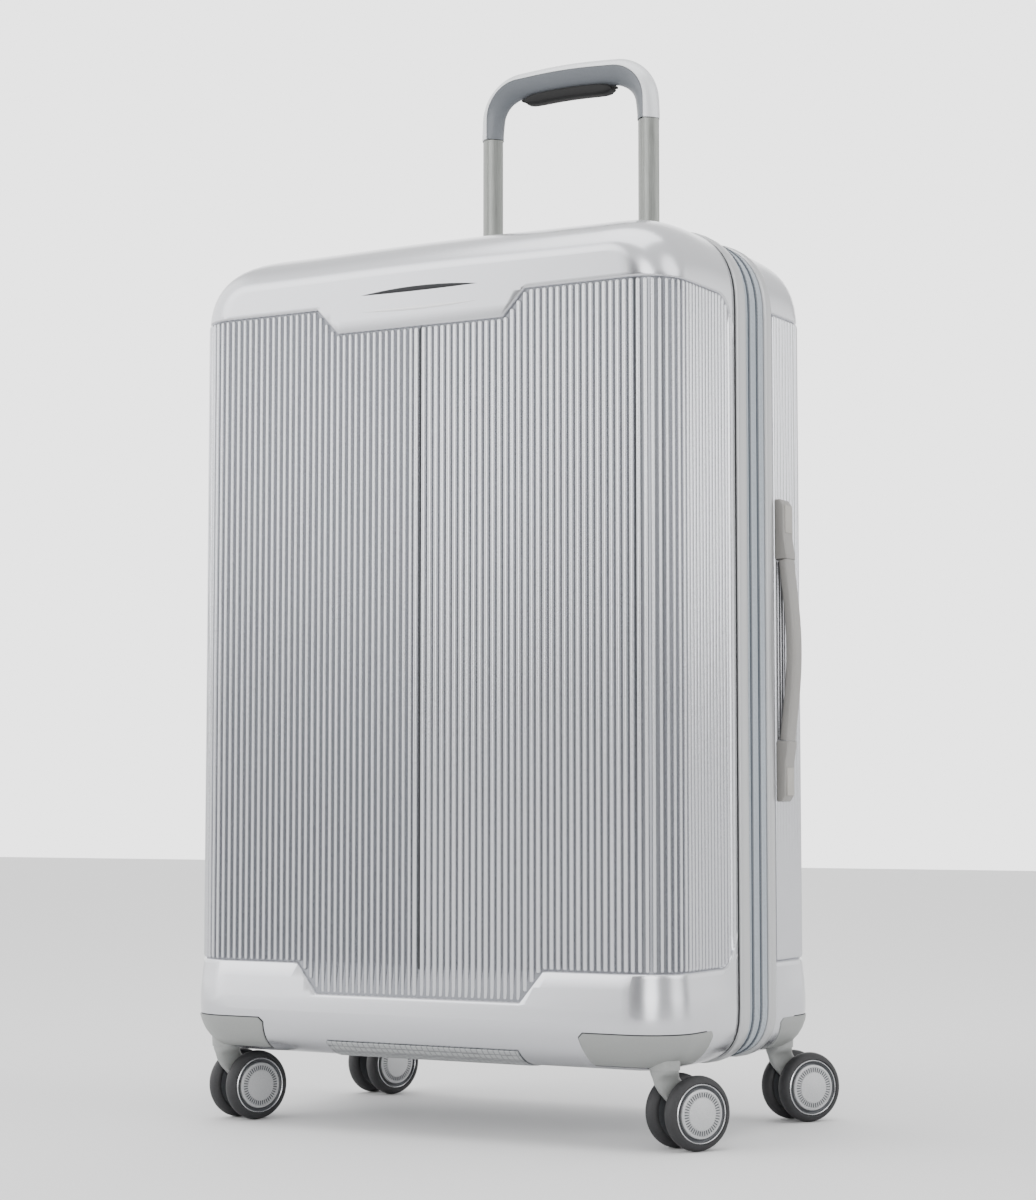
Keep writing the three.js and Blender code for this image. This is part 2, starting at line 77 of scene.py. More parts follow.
QUARTER = 60  # faces along each side of the outline
FLARE, FLARE_HEIGHT = 3.2, 46  # how far the case's foot spreads, over what height
SKIN = 2.4  # the shells' wall
LINING_INSET = 4.4

RIB_PITCH, RIB_WIDTH, RIB_HEIGHT = 6.05, 4.0, 3.0
RIB_END_GAP = 2.2  # from a rib's end to the zone's edge
RECESS = 2.6  # how deep the ribbed zones lie under the caps
LIP = ((0, 0), (0.5, 0.18), (1.0, 0.75), (1.5, 1.32), (2.0, RECESS))  # how far in, how deep
RIB_TOP_Z, RIB_BASE_Z = 693.5, 138
NOTCH_TOP = (101.5, 80.6, 671.5)  # half width at the zone's edge, at its deepest, and that height
NOTCH_BASE = (118.4, 97.9, 112.5)
RIB_SIDE_Y, RIB_SIDE_ROUND = -23, 22

TUBE_X, TUBE_Y = 82, 126
LEG_TOP_Z, GRIP_Z, BUTTON_Z = 896, 948.5, 929
CUP = {"half": 97.5, "y0": 111.5, "y1": 140.5, "floor": 697}
TRAIL, WHEEL_RADIUS = 22, 29.6

# The case's middle in the frame, from the front rim's own place
rim_low, rim_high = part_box("front_rim")
MIDDLE = Vector(((rim_low[0] + rim_high[0]) / 2, rim_low[1] + 0.013, 0))
TO_FRAME = Matrix.Translation(MIDDLE) @ Matrix.Scale(0.001, 4)


# ---- Materials ----
def srgb(code):
    """A hex colour as linear red, green, blue and alpha."""
    channels = [int(code[i:i + 2], 16) / 255 for i in (1, 3, 5)]
    return [c / 12.92 if c <= 0.04045 else ((c + 0.055) / 1.055) ** 2.4 for c in channels] + [1]


def add_node(material, kind, links=(), **values):
    """Adds a node. values set sockets or properties; links are (input, from node, output)."""
    node = material.node_tree.nodes.new("ShaderNode" + kind)
    for name, value in values.items():
        socket = name.replace("_", " ")
        if hasattr(node, name):
            setattr(node, name, value)
        elif socket in node.inputs:
            node.inputs[socket].default_value = value
        else:
            raise KeyError(f"{kind} has no {name}")
    for socket, source, output in links:
        material.node_tree.links.new(source.outputs[output], node.inputs[socket])
    return node


def start_material(name, color, roughness, metallic=0.0, ior=1.5, **sockets):
    """A Principled material to which patterns are added."""
    material = bpy.data.materials.new(name)
    material.use_nodes = True
    shader = material.node_tree.nodes["Principled BSDF"]
    shader.inputs["Base Color"].default_value = srgb(color)
    shader.inputs["Roughness"].default_value = roughness
    shader.inputs["Metallic"].default_value = metallic
    shader.inputs["IOR"].default_value = ior
    for socket, value in sockets.items():
        shader.inputs[socket.replace("_", " ")].default_value = value
    material.diffuse_color = srgb(color)
    return material, shader


def object_scale(material, grain_mm, stretch=(1, 1, 1)):
    """Object coordinates with one unit per grain of the given size in millimetres."""
    coords = add_node(material, "TexCoord")
    scale = [1000 / grain_mm * s for s in stretch]
    return add_node(material, "Mapping", [("Vector", coords, "Object")], Scale=scale)


def tint(material, shader, place, light, dark, spread=(0.35, 0.65), scale=1.0):
    """Colour that wanders between two tones with a noise."""
    noise = add_node(material, "TexNoise", [("Vector", place, 0)], Scale=scale, Detail=3.0)
    ramp = add_node(material, "ValToRGB", [("Fac", noise, 0)])
    ramp.color_ramp.elements[0].position, ramp.color_ramp.elements[1].position = spread
    ramp.color_ramp.elements[0].color = srgb(dark)
    ramp.color_ramp.elements[1].color = srgb(light)
    material.node_tree.links.new(ramp.outputs[0], shader.inputs["Base Color"])
    return noise


def relief(material, shader, height, output, depth_mm, strength=1.0):
    """Bump from a height output, depth_mm deep."""
    bump = add_node(material, "Bump", [("Height", height, output)],
                    Strength=strength, Distance=depth_mm / 1000)
    material.node_tree.links.new(bump.outputs[0], shader.inputs["Normal"])


def vary_roughness(material, shader, source, low, high):
    """Roughness between low and high, following a 0 to 1 output."""
    span = add_node(material, "MapRange", [("Value", source, 0)])
    span.inputs["To Min"].default_value = low
    span.inputs["To Max"].default_value = high
    material.node_tree.links.new(span.outputs[0], shader.inputs["Roughness"])


def silver_polycarbonate(name, color, dark):
    """Vacuum-formed polycarbonate under a silver metallic film: satin, with a fine flake sparkle."""
    material, shader = start_material(name, color, 0.25, 0.9, Coat_Weight=0.35, Coat_Roughness=0.16)
    # Flakes are finer than this in the film; half a millimetre is the finest that shows
    flakes = object_scale(material, 0.5)
    noise = tint(material, shader, flakes, color, dark)
    vary_roughness(material, shader, noise, 0.2, 0.29)
    orange_peel = add_node(material, "TexNoise", [("Vector", object_scale(material, 9), 0)], Scale=1.0)
    relief(material, shader, orange_peel, 0, 0.04, 0.25)
    return material


def moulded_plastic(name, color, dark, roughness, metallic=0.0, grain=0.5, depth=0.06):
    """Injection-moulded ABS with an eroded grain: an even tone, slightly broken highlights."""
    material, shader = start_material(name, color, roughness, metallic)
    place = object_scale(material, grain)
    noise = tint(material, shader, place, color, dark)
    vary_roughness(material, shader, noise, roughness - 0.05, roughness + 0.06)
    relief(material, shader, noise, 0, depth)
    return material


def woven_cloth(name, color, dark, thread_mm, sheen=0.3):
    """Plain-woven polyester: crossing threads with a soft sheen at grazing angles."""
    material, shader = start_material(name, color, 0.85, Sheen_Weight=sheen, Sheen_Roughness=0.4)
    place = object_scale(material, thread_mm)
    height = None
    for direction in ("X", "Y", "Z"):
        wave = add_node(material, "TexWave", [("Vector", place, 0)],
                        bands_direction=direction, Scale=0.32, Distortion=0.6, Detail=1.0)
        if height is None:
            height, output = wave, 1
        else:
            height = add_node(material, "Math", operation="MULTIPLY_ADD")
            material.node_tree.links.new(wave.outputs[1], height.inputs[0])
            height.inputs[1].default_value = 0.5
            material.node_tree.links.new(previous.outputs[output], height.inputs[2])
            output = 0
        previous = height
    tint(material, shader, place, color, dark, (0.3, 0.7), 0.8)
    relief(material, shader, height, output, 0.25, 0.8)
    return material


def brushed_aluminium():
    """Drawn tube, brushed lengthwise and anodised grey: fine upright streaks, soft long highlights."""
    material, shader = start_material("brushed_aluminium", "#7f817e", 0.34, 1.0, Anisotropic=0.4)
    streaks = object_scale(material, 0.4, (1, 1, 0.02))
    noise = tint(material, shader, streaks, "#868885", "#747673")
    vary_roughness(material, shader, noise, 0.28, 0.42)
    relief(material, shader, noise, 0, 0.02, 0.4)
    return material


def bright_metal():
    """Polished zinc-plated steel with faint wear clouds."""
    material, shader = start_material("bright_zinc", "#c4c5c7", 0.2, 1.0)
    noise = tint(material, shader, object_scale(material, 3), "#cfd0d2", "#b3b4b7")
    vary_roughness(material, shader, noise, 0.16, 0.3)
    return material


def textured_grip():
    """Moulded ABS with a raised hexagon-like cell pattern for fingers, 5 mm across; the grooves between the
    cells are painted darker as shade.
    """
    material, shader = start_material("cell_grip_abs", "#9b9d9e", 0.45, 0.2)
    place = object_scale(material, 5.2)
    cells = add_node(material, "TexVoronoi", [("Vector", place, 0)], feature="DISTANCE_TO_EDGE",
                     Scale=1.0, Randomness=0.12)
    # Painted shade: the colour darkens towards each cell's edge, in the grooves between the raised cells
    edges = add_node(material, "ValToRGB", [("Fac", cells, 0)])
    edges.color_ramp.elements[0].color = srgb("#6f7173")
    edges.color_ramp.elements[1].color = srgb("#a5a7a8")
    edges.color_ramp.elements[1].position = 0.16
    material.node_tree.links.new(edges.outputs[0], shader.inputs["Base Color"])
    relief(material, shader, cells, 0, 0.8, 0.9)
    return material


SHELL = silver_polycarbonate("silver_polycarbonate", "#cccdd1", "#c5c6ca")
# The floor between the ribs, painted darker as shade so that the ribs stand out
RIB_GAP_SHADE = silver_polycarbonate("silver_polycarbonate_painted_shade", "#7c7e83", "#74767b")
RIM = moulded_plastic("rim_abs", "#b9babb", "#aeafb1", 0.34, 0.55)
# Near-black for pieces that stand in for shade in gaps, grooves and under the badge: painted shade
SHADE_BLACK = moulded_plastic("painted_shade_black", "#26272a", "#1d1e20", 0.75)
TAPE = woven_cloth("zipper_tape_polyester", "#a8b0b8", "#8c959e", 0.8)
COIL = moulded_plastic("zipper_coil_nylon", "#555c64", "#41474e", 0.4)
LINING = woven_cloth("lining_polyester", "#5f656c", "#4d5359", 1.0)
WEBBING = woven_cloth("webbing_polypropylene", "#2d3035", "#202327", 1.4)
TRIM = moulded_plastic("trim_abs", "#8f918f", "#858786", 0.42, 0.15)
CARRY = moulded_plastic("carry_handle_abs", "#8b8986", "#817f7c", 0.45, 0.05)
CARRY_PAD = moulded_plastic("carry_pad_tpe", "#a3a09b", "#999691", 0.6)
GRIP_LIGHT = moulded_plastic("grip_outer_abs", "#d3d5d7", "#cbcdd0", 0.3, 0.2)
GRIP_DARK = moulded_plastic("grip_inner_abs", "#6d7176", "#64686d", 0.4, 0.15)
BUTTON = moulded_plastic("button_tpe", "#070708", "#050506", 0.75)
TUBE = brushed_aluminium()
ZINC = bright_metal()
TYRE = moulded_plastic("tyre_polyurethane", "#252527", "#1c1c1e", 0.6, 0, 0.8, 0.1)
HUB_DARK = moulded_plastic("hub_inner_nylon", "#55575a", "#47494c", 0.45, 0.3)
HUB_RING = moulded_plastic("hub_ring_plated_abs", "#d2d3d5", "#c5c6c9", 0.2, 0.9)
# White for the raised line under the badge: the ridge is real, its white is painted highlight
BADGE_HIGHLIGHT_WHITE = moulded_plastic("badge_painted_highlight", "#f4f4f5", "#ececee", 0.3)
HUB_CAP = moulded_plastic("hub_cap_painted_abs", "#babbbc", "#aaabad", 0.36, 0.55, 0.6, 0.1)
TEXTURED = textured_grip()


# ---- Mesh helpers ----
def sign(value):
    return 1 if value > 0 else -1


def unit(value):
    """A value held between 0 and 1."""
    return min(max(value, 0), 1)


def grid(bm, across, along, place):
    """A sheet of across by along faces; place(u, v) says where, with u and v from 0 to 1."""
    made = bmesh.ops.create_grid(bm, x_segments=across, y_segments=along, size=0.5)["verts"]
    for vert in made:
        vert.co = Vector(place(vert.co.x + 0.5, vert.co.y + 0.5))


def weld(bm, distance=0.02):
    bmesh.ops.remove_doubles(bm, verts=bm.verts, dist=distance)
    bmesh.ops.dissolve_degenerate(bm, dist=0.005, edges=bm.edges)


def close_ends(bm):
    bmesh.ops.holes_fill(bm, edges=[e for e in bm.edges if e.is_boundary], sides=0)


def round_edges(bm, edges, width, segments):
    bmesh.ops.bevel(bm, geom=edges, offset=width, segments=segments, profile=0.5, affect="EDGES",
                    clamp_overlap=True, material=-1)


def trim(bm, planes, close=False):
    """Cuts away what lies beyond each (point, normal) plane, closing each cut if asked."""
    for point, normal in planes:
        parts = list(bm.verts) + list(bm.edges) + list(bm.faces)
        bmesh.ops.bisect_plane(bm, geom=parts, plane_co=point, plane_no=normal, clear_outer=True, dist=0.01)
        if close:
            close_ends(bm)


def soften(bm, width, segments=2, angle=35):
    """Rounds the edges where faces meet more sharply than angle, in degrees."""
    bmesh.ops.recalc_face_normals(bm, faces=bm.faces)
    sharp = [e for e in bm.edges if len(e.link_faces) == 2 and e.calc_face_angle() > radians(angle)]
    round_edges(bm, sharp, width, segments)


def sweep(bm, spine, section, caps=True):
    """Carries a closed section of (out, side) points along a spine of (centre, out, side) frames."""
    count = len(section)

    def place(u, v):
        centre, out, side = spine[round(v * (len(spine) - 1))]
        a, b = section[round(u * count) % count]
        return centre + out * a + side * b

    grid(bm, count, len(spine) - 1, place)
    weld(bm)
    if caps:
        close_ends(bm)


def lathe(bm, profile, segments=48):
    """Turns (radius, y) points about the Y axis. The profile closes on itself or on the axis."""
    def place(u, v):
        radius, y = profile[round(v * (len(profile) - 1))]
        return radius * cos(2 * pi * u), y, radius * sin(2 * pi * u)

    grid(bm, segments, len(profile) - 1, place)
    weld(bm)


def block(bm, low, high, width=0.0, segments=2):
    """A rounded box between two corners."""
    made = bmesh.ops.create_cube(bm, size=1)["verts"]
    size = [b - a for a, b in zip(low, high)]
    middle = [(a + b) / 2 for a, b in zip(low, high)]
    bmesh.ops.scale(bm, vec=size, verts=made)
    bmesh.ops.translate(bm, vec=middle, verts=made)
    if width:
        round_edges(bm, list({e for v in made for e in v.link_edges}), width, segments)


def finish_piece(name, bm, material, body, slot, nodes=(), matrix=Matrix(), angle=35, outward=True):
    """Makes an object from a millimetre mesh, places it in the frame and says what it rides on."""
    if outward:
        bmesh.ops.recalc_face_normals(bm, faces=bm.faces)
    bmesh.ops.transform(bm, matrix=TO_FRAME @ matrix, verts=bm.verts)
    mesh = bpy.data.meshes.new(name)
    bm.to_mesh(mesh)
    bm.free()
    mesh.shade_smooth()
    mesh.set_sharp_from_angle(angle=radians(angle))
    mesh.materials.append(material)
    made = bpy.data.objects.new(name, mesh)
    bpy.context.scene.collection.objects.link(made)
    if body:
        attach(made, body)
    if nodes:
        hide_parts(*nodes)
    return made


def block_piece(name, boxes, *finish):
    """One piece of rounded boxes, each (low, high, rounding, segments)."""
    bm = bmesh.new()
    for box in boxes:
        block(bm, *box)
    finish_piece(name, bm, *finish)


def solidify(made, thickness_mm):
    """Gives a one-sided skin its wall, inwards."""
    wall = made.modifiers.new("wall", "SOLIDIFY")
    wall.thickness = thickness_mm / 1000
    wall.offset = -1


# ---- The case's form ----
def come_in(distance, length, height):
    """How far a rounded edge has come in at a distance from the flat face."""
    share = unit((length - distance) / length)
    return height * (1 - sqrt(1 - share * share))


def bend(angle, inset):
    """A corner's bend: squarer than a circle at the rims and nearly round on the flat faces."""
    bow = 2 / (2.55 - 0.0055 * max(inset, 0))
    return max(cos(angle), 0) ** bow, max(sin(angle), 0) ** bow


def column(v, side, top, base):
    """A point on the right edge of the outline, v running from the top to the bottom."""
    half, high, low = HALF_WIDTH - side, TOP_Z - top, BASE_Z + base
    round_top = max(CORNER_TOP - 0.69 * (side + top), 12)
    round_base = max(CORNER_BASE - 0.5 * (side + base), 12)
    if v < 0.2:
        across, up = bend(pi / 2 * (1 - v / 0.2), side + top)
        return half - round_top + round_top * across, high - round_top + round_top * up
    if v > 0.85:
        across, up = bend(pi / 2 * (v - 0.85) / 0.15, side + top)
        return half - round_base + round_base * across, low + round_base - round_base * up
    share = (v - 0.2) / 0.65
    return half, (high - round_top) + share * (low + round_base - high + round_top)


def around(u, side=0.0, top=0.0, base=0.0):
    """A point (x, z) on the outline moved in by the given insets, u running once round."""
    quarter, share = int(u * 4) % 4, (u * 4) % 1
    if quarter == 0:
        x, z = column(0, side, top, base)
        return (2 * share - 1) * x, z + CROWN * cos(pi * (share - 0.5)) ** 2
    if quarter == 2:
        x, z = column(1, side, top, base)
        return (1 - 2 * share) * x, z
    x, z = column(share if quarter == 1 else 1 - share, side, top, base)
    return (x, z) if quarter == 1 else (-x, z)


def plan_of(front):
    """The y of a half's flat face, the way in from it, and the radius of its upright edges."""
    return (FRONT_Y, 1, SIDE_ROUND) if front else (BACK_Y, -1, REAR_SIDE_ROUND)


def half_form(front, inset=0.0, face_y=None, edge_y=None, lift=0.0):
    """One half of the case as a skin open at its edge, moved in by inset; lift raises its floor."""
    bm = bmesh.new()
    flat_y, way, side_round = plan_of(front)
    face_y = face_y if face_y is not None else flat_y + way * inset
    edge_y = edge_y if edge_y is not None else (FRONT_EDGE_Y if front else REAR_EDGE_Y)
    depth = abs(edge_y - face_y)
    top_round = TOP_ROUND if front else REAR_TOP_ROUND
    bent_depth = min(max(top_round[0], BASE_ROUND[0]) + 2, depth - 4)

    def insets(distance):
        return {
            "side": come_in(distance, side_round, side_round) + inset,
            "top": come_in(distance, *top_round) + inset,
            "base": come_in(distance, *BASE_ROUND) + inset + lift,
        }

    def wall(u, v):
        bent = 1 - cos(min(v / 0.8, 1) * pi / 2)
        distance = bent_depth * bent + max(v - 0.8, 0) / 0.2 * (depth - bent_depth)
        x, z = around(u, **insets(distance))
        return x, face_y + way * distance, z

    def flat(u, v):
        x, z = column(v, **insets(0))
        rise = CROWN * cos(pi * (u - 0.5)) ** 2 * max(1 - v / 0.2, 0) ** 2
        return (2 * u - 1) * x, face_y, z + rise

    grid(bm, 4 * QUARTER, 34, wall)
    grid(bm, QUARTER, QUARTER, flat)
    weld(bm)
    for vert in bm.verts:
        x, y, z = vert.co
        spread = unit((RIB_BASE_Z - z) / FLARE_HEIGHT) * unit(way * (edge_y - y) / 50)
        if spread > 0:
            level = max(z, BASE_Z + CORNER_BASE)
            vert.co += plan_normal(x, y, level, front) * FLARE * spread * (2 - spread)
    bmesh.ops.recalc_face_normals(bm, faces=bm.faces)
    return bm


def cut(bm, point, normal, where=lambda c: True):
    """Cuts the faces whose middle passes the test along a plane."""
    faces = [f for f in bm.faces if where(f.calc_center_median())]
    parts = list({v for f in faces for v in f.verts}) + list({e for f in faces for e in f.edges})
    bmesh.ops.bisect_plane(bm, geom=parts + faces, plane_co=point, plane_no=normal, dist=0.02)


def half_width_at(z):
    """The case's half width at a height, between the corners' bends."""
    above, below = max(z - (TOP_Z - CORNER_TOP), 0), max(BASE_Z + CORNER_BASE - z, 0)
    drop = CORNER_TOP * (1 - (1 - (above / CORNER_TOP) ** 2.4) ** (1 / 2.4))
    return HALF_WIDTH - drop - CORNER_BASE * (1 - sqrt(1 - (below / CORNER_BASE) ** 2))


def zone_limits(x, y, front):
    """The lowest and highest z of the ribbed zone over a point of the case's plan."""
    low, high = RIB_BASE_Z, RIB_TOP_Z
    if not front:
        return low, high
    if y < FRONT_Y + 6:
        for (wide, narrow, z), is_top in ((NOTCH_TOP, True), (NOTCH_BASE, False)):
            edge = high if is_top else low
            share = unit((wide - abs(x)) / (wide - narrow))
            level = edge + share * (z - edge)
            low, high = (low, level) if is_top else (level, high)
    past = y - (RIB_SIDE_Y - RIB_SIDE_ROUND)
    if past > 0:
        drop = RIB_SIDE_ROUND - sqrt(max(RIB_SIDE_ROUND ** 2 - past ** 2, 0))
        low, high = low + drop, high - drop
    return low, high


def outline_cuts(front, inset):
    """Planes along the ribbed zone's outline, moved in by inset, each with the faces it cuts."""
    top, base = RIB_TOP_Z - inset, RIB_BASE_Z + inset
    yield (0, 0, top), (0, 0, 1), lambda c: True
    yield (0, 0, base), (0, 0, 1), lambda c: True
    if not front:
        return
    yield (0, RIB_SIDE_Y - inset, 0), (0, 1, 0), lambda c: True
    for (wide, narrow, deep), edge, sz in ((NOTCH_TOP, top, 1), (NOTCH_BASE, base, -1)):
        level = deep - sz * inset
        near = lambda c, w=wide: c.y < FRONT_Y + 3 and abs(c.x) < w + 4
        yield (0, 0, level), (0, 0, 1), near
        for sx in (-1, 1):
            low, high = sorted((level, edge))
            slant = (lambda c, sx=sx, low=low, high=high, wide=wide, narrow=narrow:
                     c.y < FRONT_Y + 3 and low < c.z < high and narrow - 6 < sx * c.x < wide + 6)
            yield (sx * wide, 0, edge), (sx * (level - edge), 0, wide - narrow), slant
    for edge, sz in ((top, 1), (base, -1)):
        middle_y, middle_z = RIB_SIDE_Y - RIB_SIDE_ROUND, edge - sz * RIB_SIDE_ROUND
        corner = (lambda c, sz=sz, y=middle_y, z=middle_z:
                  c.y > y and 0 < sz * (c.z - z) < RIB_SIDE_ROUND and abs(c.x) > 190)
        for angle in (11, 28, 45, 62, 79):
            out = Vector((0, cos(radians(angle)), sz * sin(radians(angle))))
            yield Vector((0, middle_y, middle_z)) + out * RIB_SIDE_ROUND, out, corner


def zone_depth(x, y, z, front):
    """How deep the ribbed zone's floor lies under the caps' surface at a point."""
    low, high = zone_limits(x, y, front)
    inside = min(z - low, high - z, RIB_SIDE_Y - y if front else 99)
    for (near, shallow), (far, deep) in zip(LIP, LIP[1:]):
        if inside < far:
            return shallow + (deep - shallow) * max(inside - near, 0) / (far - near)
    return RECESS


def plan_normal(x, y, z, front):
    """The level direction straight out of the case's side at a point."""
    face_y, way, radius = plan_of(front)
    across = max(abs(x) - (half_width_at(z) - radius), 0) * sign(x)
    along = min(way * (y - face_y) - radius, 0) * way
    if along == 0:
        return Vector((sign(x), 0, 0))
    return Vector((across, along, 0)).normalized()


def press_zone(bm, front):
    """Presses the ribbed zone in, with a rolled lip round it, and gives the zone's floor the second
    material, painted shade between the ribs.
    """
    for inset, _ in LIP:
        for point, normal, where in outline_cuts(front, inset):
            cut(bm, point, normal, where)
    for vert in bm.verts:
        x, y, z = vert.co
        vert.tag = False
        depth = zone_depth(x, y, z, front)
        if depth > 0:
            vert.co -= plan_normal(x, y, z, front) * depth
            vert.tag = depth > RECESS * 0.98
    # Faces on the zone's floor take the second material: painted shade between the ribs
    for face in bm.faces:
        if all(vert.tag for vert in face.verts):
            face.material_index = 1


def on_plan(s, z, front):
    """Where arc length s round the plan of a half falls at height z: (x, y) and its normal."""
    face_y, way, radius = plan_of(front)
    half = half_width_at(z)
    past, sx = abs(s) - (half - radius), sign(s)
    if past <= 0:
        return Vector((s, face_y, z)), Vector((0, -way, 0))
    angle = past / radius
    if angle < pi / 2:
        out = Vector((sx * sin(angle), -way * cos(angle), 0))
        return Vector((sx * (half - radius), face_y + way * radius, z)) + out * radius, out
    y = face_y + way * (radius + past - radius * pi / 2)
    return Vector((sx * half, y, z)), Vector((sx, 0, 0))


def add_rib(bm, s, front, width=RIB_WIDTH, height=RIB_HEIGHT, lean=0.16):
    """One upright rib: a half-round bar with round ends, its crest leaning to the middle."""
    steps, reach = 8, width / 2
    sides = [on_plan(s + shift, 400, front)[0] for shift in (-reach, 0, reach)]
    limits = [zone_limits(place.x, place.y, front) for place in sides]
    low = max(pair[0] for pair in limits) + RIB_END_GAP
    high = min(pair[1] for pair in limits) - RIB_END_GAP
    if high - low < 20:
        return
    skew = -lean * width * sign(s)

    def point(u, v):
        angle = pi * u
        row = round(v * 9)
        end = min(row, 9 - row)
        along = reach * (1 - cos(pi / 2 * end / 4))
        size = max(sin(pi / 2 * end / 4), 0.02)
        z = low + along if row < 5 else high - along
        t = s - reach * cos(angle) * size + skew * sin(angle) ** 2 * size
        base, out = on_plan(t, z, front)
        return base + out * (height * size * sin(angle) - RECESS - 0.05)

    grid(bm, steps, 9, point)


def build_ribs(front):
    bm = bmesh.new()
    face_y, _, radius = plan_of(front)
    last_y = RIB_SIDE_Y - 3 if front else REAR_EDGE_Y + 5
    reach = HALF_WIDTH - radius + radius * pi / 2 + abs(last_y - face_y) - radius
    count = int(reach / RIB_PITCH)
    if front:
        # A wider rib beside an open groove marks the middle of the face
        add_rib(bm, -2.4, front, 4.8, 3.5, 0)
    for sx in (-1, 1):
        start = (1.32 if sx < 0 else 0.8) if front else 0.5
        for index in range(count):
            if (index + start + 0.5) * RIB_PITCH <= reach:
                add_rib(bm, sx * (index + start) * RIB_PITCH, front)
    return bm


def build_shells():
    for name, front in (("front", True), ("rear", False)):
        bm, body = half_form(front), f"{name}_half"
        press_zone(bm, front)
        if not front:
            cut_handle_opening(bm)
        shell = finish_piece(f"{name}_shell_skin", bm, SHELL, body, "shell_polycarbonate",
                             [f"{name}_shell"], angle=30)
        # The second material paints shade on the zone's floor between the ribs
        shell.data.materials.append(RIB_GAP_SHADE)
        solidify(shell, SKIN)
        finish_piece(f"{name}_ribs", build_ribs(front), SHELL, body, "shell_polycarbonate", angle=60)
    # A near-black strip along the groove beside the middle rib: painted shade for the groove's shadow line
    bm = bmesh.new()
    add_rib(bm, 1.42, True, 2.3, 0.5, 0)
    finish_piece("front_seam_painted_shade", bm, SHADE_BLACK, "front_half", "button_rubber", angle=60)


def cut_handle_opening(bm):
    """Opens the top of the rear shell over the handle's cup."""
    for x in (-CUP["half"], CUP["half"]):
        cut(bm, (x, 0, 0), (1, 0, 0), lambda c: c.z > 700 and c.y > 90)
    for y in (CUP["y0"], CUP["y1"]):
        cut(bm, (0, y, 0), (0, 1, 0), lambda c: c.z > 700 and abs(c.x) < 120)
    gone = [f for f in bm.faces if f.calc_center_median().z > 720
            and abs(f.calc_center_median().x) < CUP["half"]
            and CUP["y0"] < f.calc_center_median().y < CUP["y1"]]
    bmesh.ops.delete(bm, geom=gone, context="FACES")


# ---- Rims, zipper and expander ----
def hoop(profile, turns=4 * QUARTER, closed=True):
    """A band round the case. profile holds (y, out) points; out is how far proud of the case."""
    bm = bmesh.new()
    count = len(profile)

    def place(u, v):
        y, out = profile[round(v * (count if closed else count - 1)) % count]
        x, z = around(u % 1, -out, -out, -out)
        return x, y, z

    grid(bm, turns, count if closed else count - 1, place)
    weld(bm)
    return bm


def build_rims():
    y0, y1 = FRONT_RIM
    bead = [(y0, -5), (y0, 0.5), (y0 + 0.5, 1.3), (y0 + 2, 1.9), (y0 + 5, 2.1), (y1 - 6, 2.0),
            (y1 - 2.5, 1.5), (y1 - 0.8, 0.8), (y1, -0.2), (y1, -5)]
    finish_piece("front_rim_bead", hoop(bead), RIM, "front_half", "rim_plastic", ["front_rim"])
    y0, y1 = REAR_RIM
    bead = [(y0, -5), (y0, -0.2), (y0 + 0.8, 0.8), (y0 + 2.5, 1.5), (y0 + 5, 1.9), (y1 - 4, 1.9),
            (y1 - 1.4, 1.4), (y1 - 0.4, 0.7), (y1, 0.1), (y1, -5)]
    finish_piece("rear_rim_bead", hoop(bead), RIM, "rear_half", "rim_plastic", ["rear_rim"])
    # A near-black band sunk in the gap between the front shell's edge and the rim's bead: painted shade for
    # the dark gap line
    gap_shade_profile = [(-14.3, -0.6), (-12.6, -0.3), (-12.6, -6), (-17.6, -6), (-17.6, -4), (-14.3, -4)]
    finish_piece("front_gap_painted_shade", hoop(gap_shade_profile), SHADE_BLACK, "front_half", "button_rubber")


def tape_profile(y0, y1, sag=0.4):
    """A strip of zipper tape with turned edges, a little sunk between them."""
    mid = (y0 + y1) / 2
    return [(y0, -2.6), (y0, -1.6), (y0 + 0.7, -0.9), (y0 + 2, -1.0), (mid, -1.2 - sag), (y1 - 2, -1.0),
            (y1 - 0.7, -0.9), (y1, -1.6), (y1, -2.6), (mid, -2.8 - sag)]


def build_coil(y0, y1, name, body):
    """The coil that the teeth are part of: a low ridge along a tape's edge."""
    finish_piece(name, hoop([(y0, -1.4), (y0 + 0.2, 0), (y1 - 0.2, 0), (y1, -1.4)]), COIL, body, "zip_cloth")


def build_teeth(y, name, body, offset):
    """Every second tooth of a zipper: small blocks on pitch round the case."""
    bm = bmesh.new()
    pitch = 3.0
    path = [Vector(around(i / 960, 0.5, 0.5, 0.5)) for i in range(961)]
    travelled, target = 0.0, offset * pitch
    for a, b in zip(path, path[1:]):
        step = (b - a).length
        while target <= travelled + step and step > 0:
            spot = a.lerp(b, (target - travelled) / step)
            angle = atan2(b.y - a.y, b.x - a.x)
            matrix = (Matrix.Translation((spot.x, y, spot.y)) @ Matrix.Rotation(-angle, 4, "Y")
                      @ Matrix.Diagonal((1.7, 3.0, 1.5, 1)))
            tooth = bmesh.ops.create_cube(bm, size=1, matrix=matrix)["verts"]
            round_edges(bm, list({e for v in tooth for e in v.link_edges}), 0.3, 1)
            target += 2 * pitch
        travelled += step
    finish_piece(name, bm, COIL, body, "zip_cloth", outward=False)


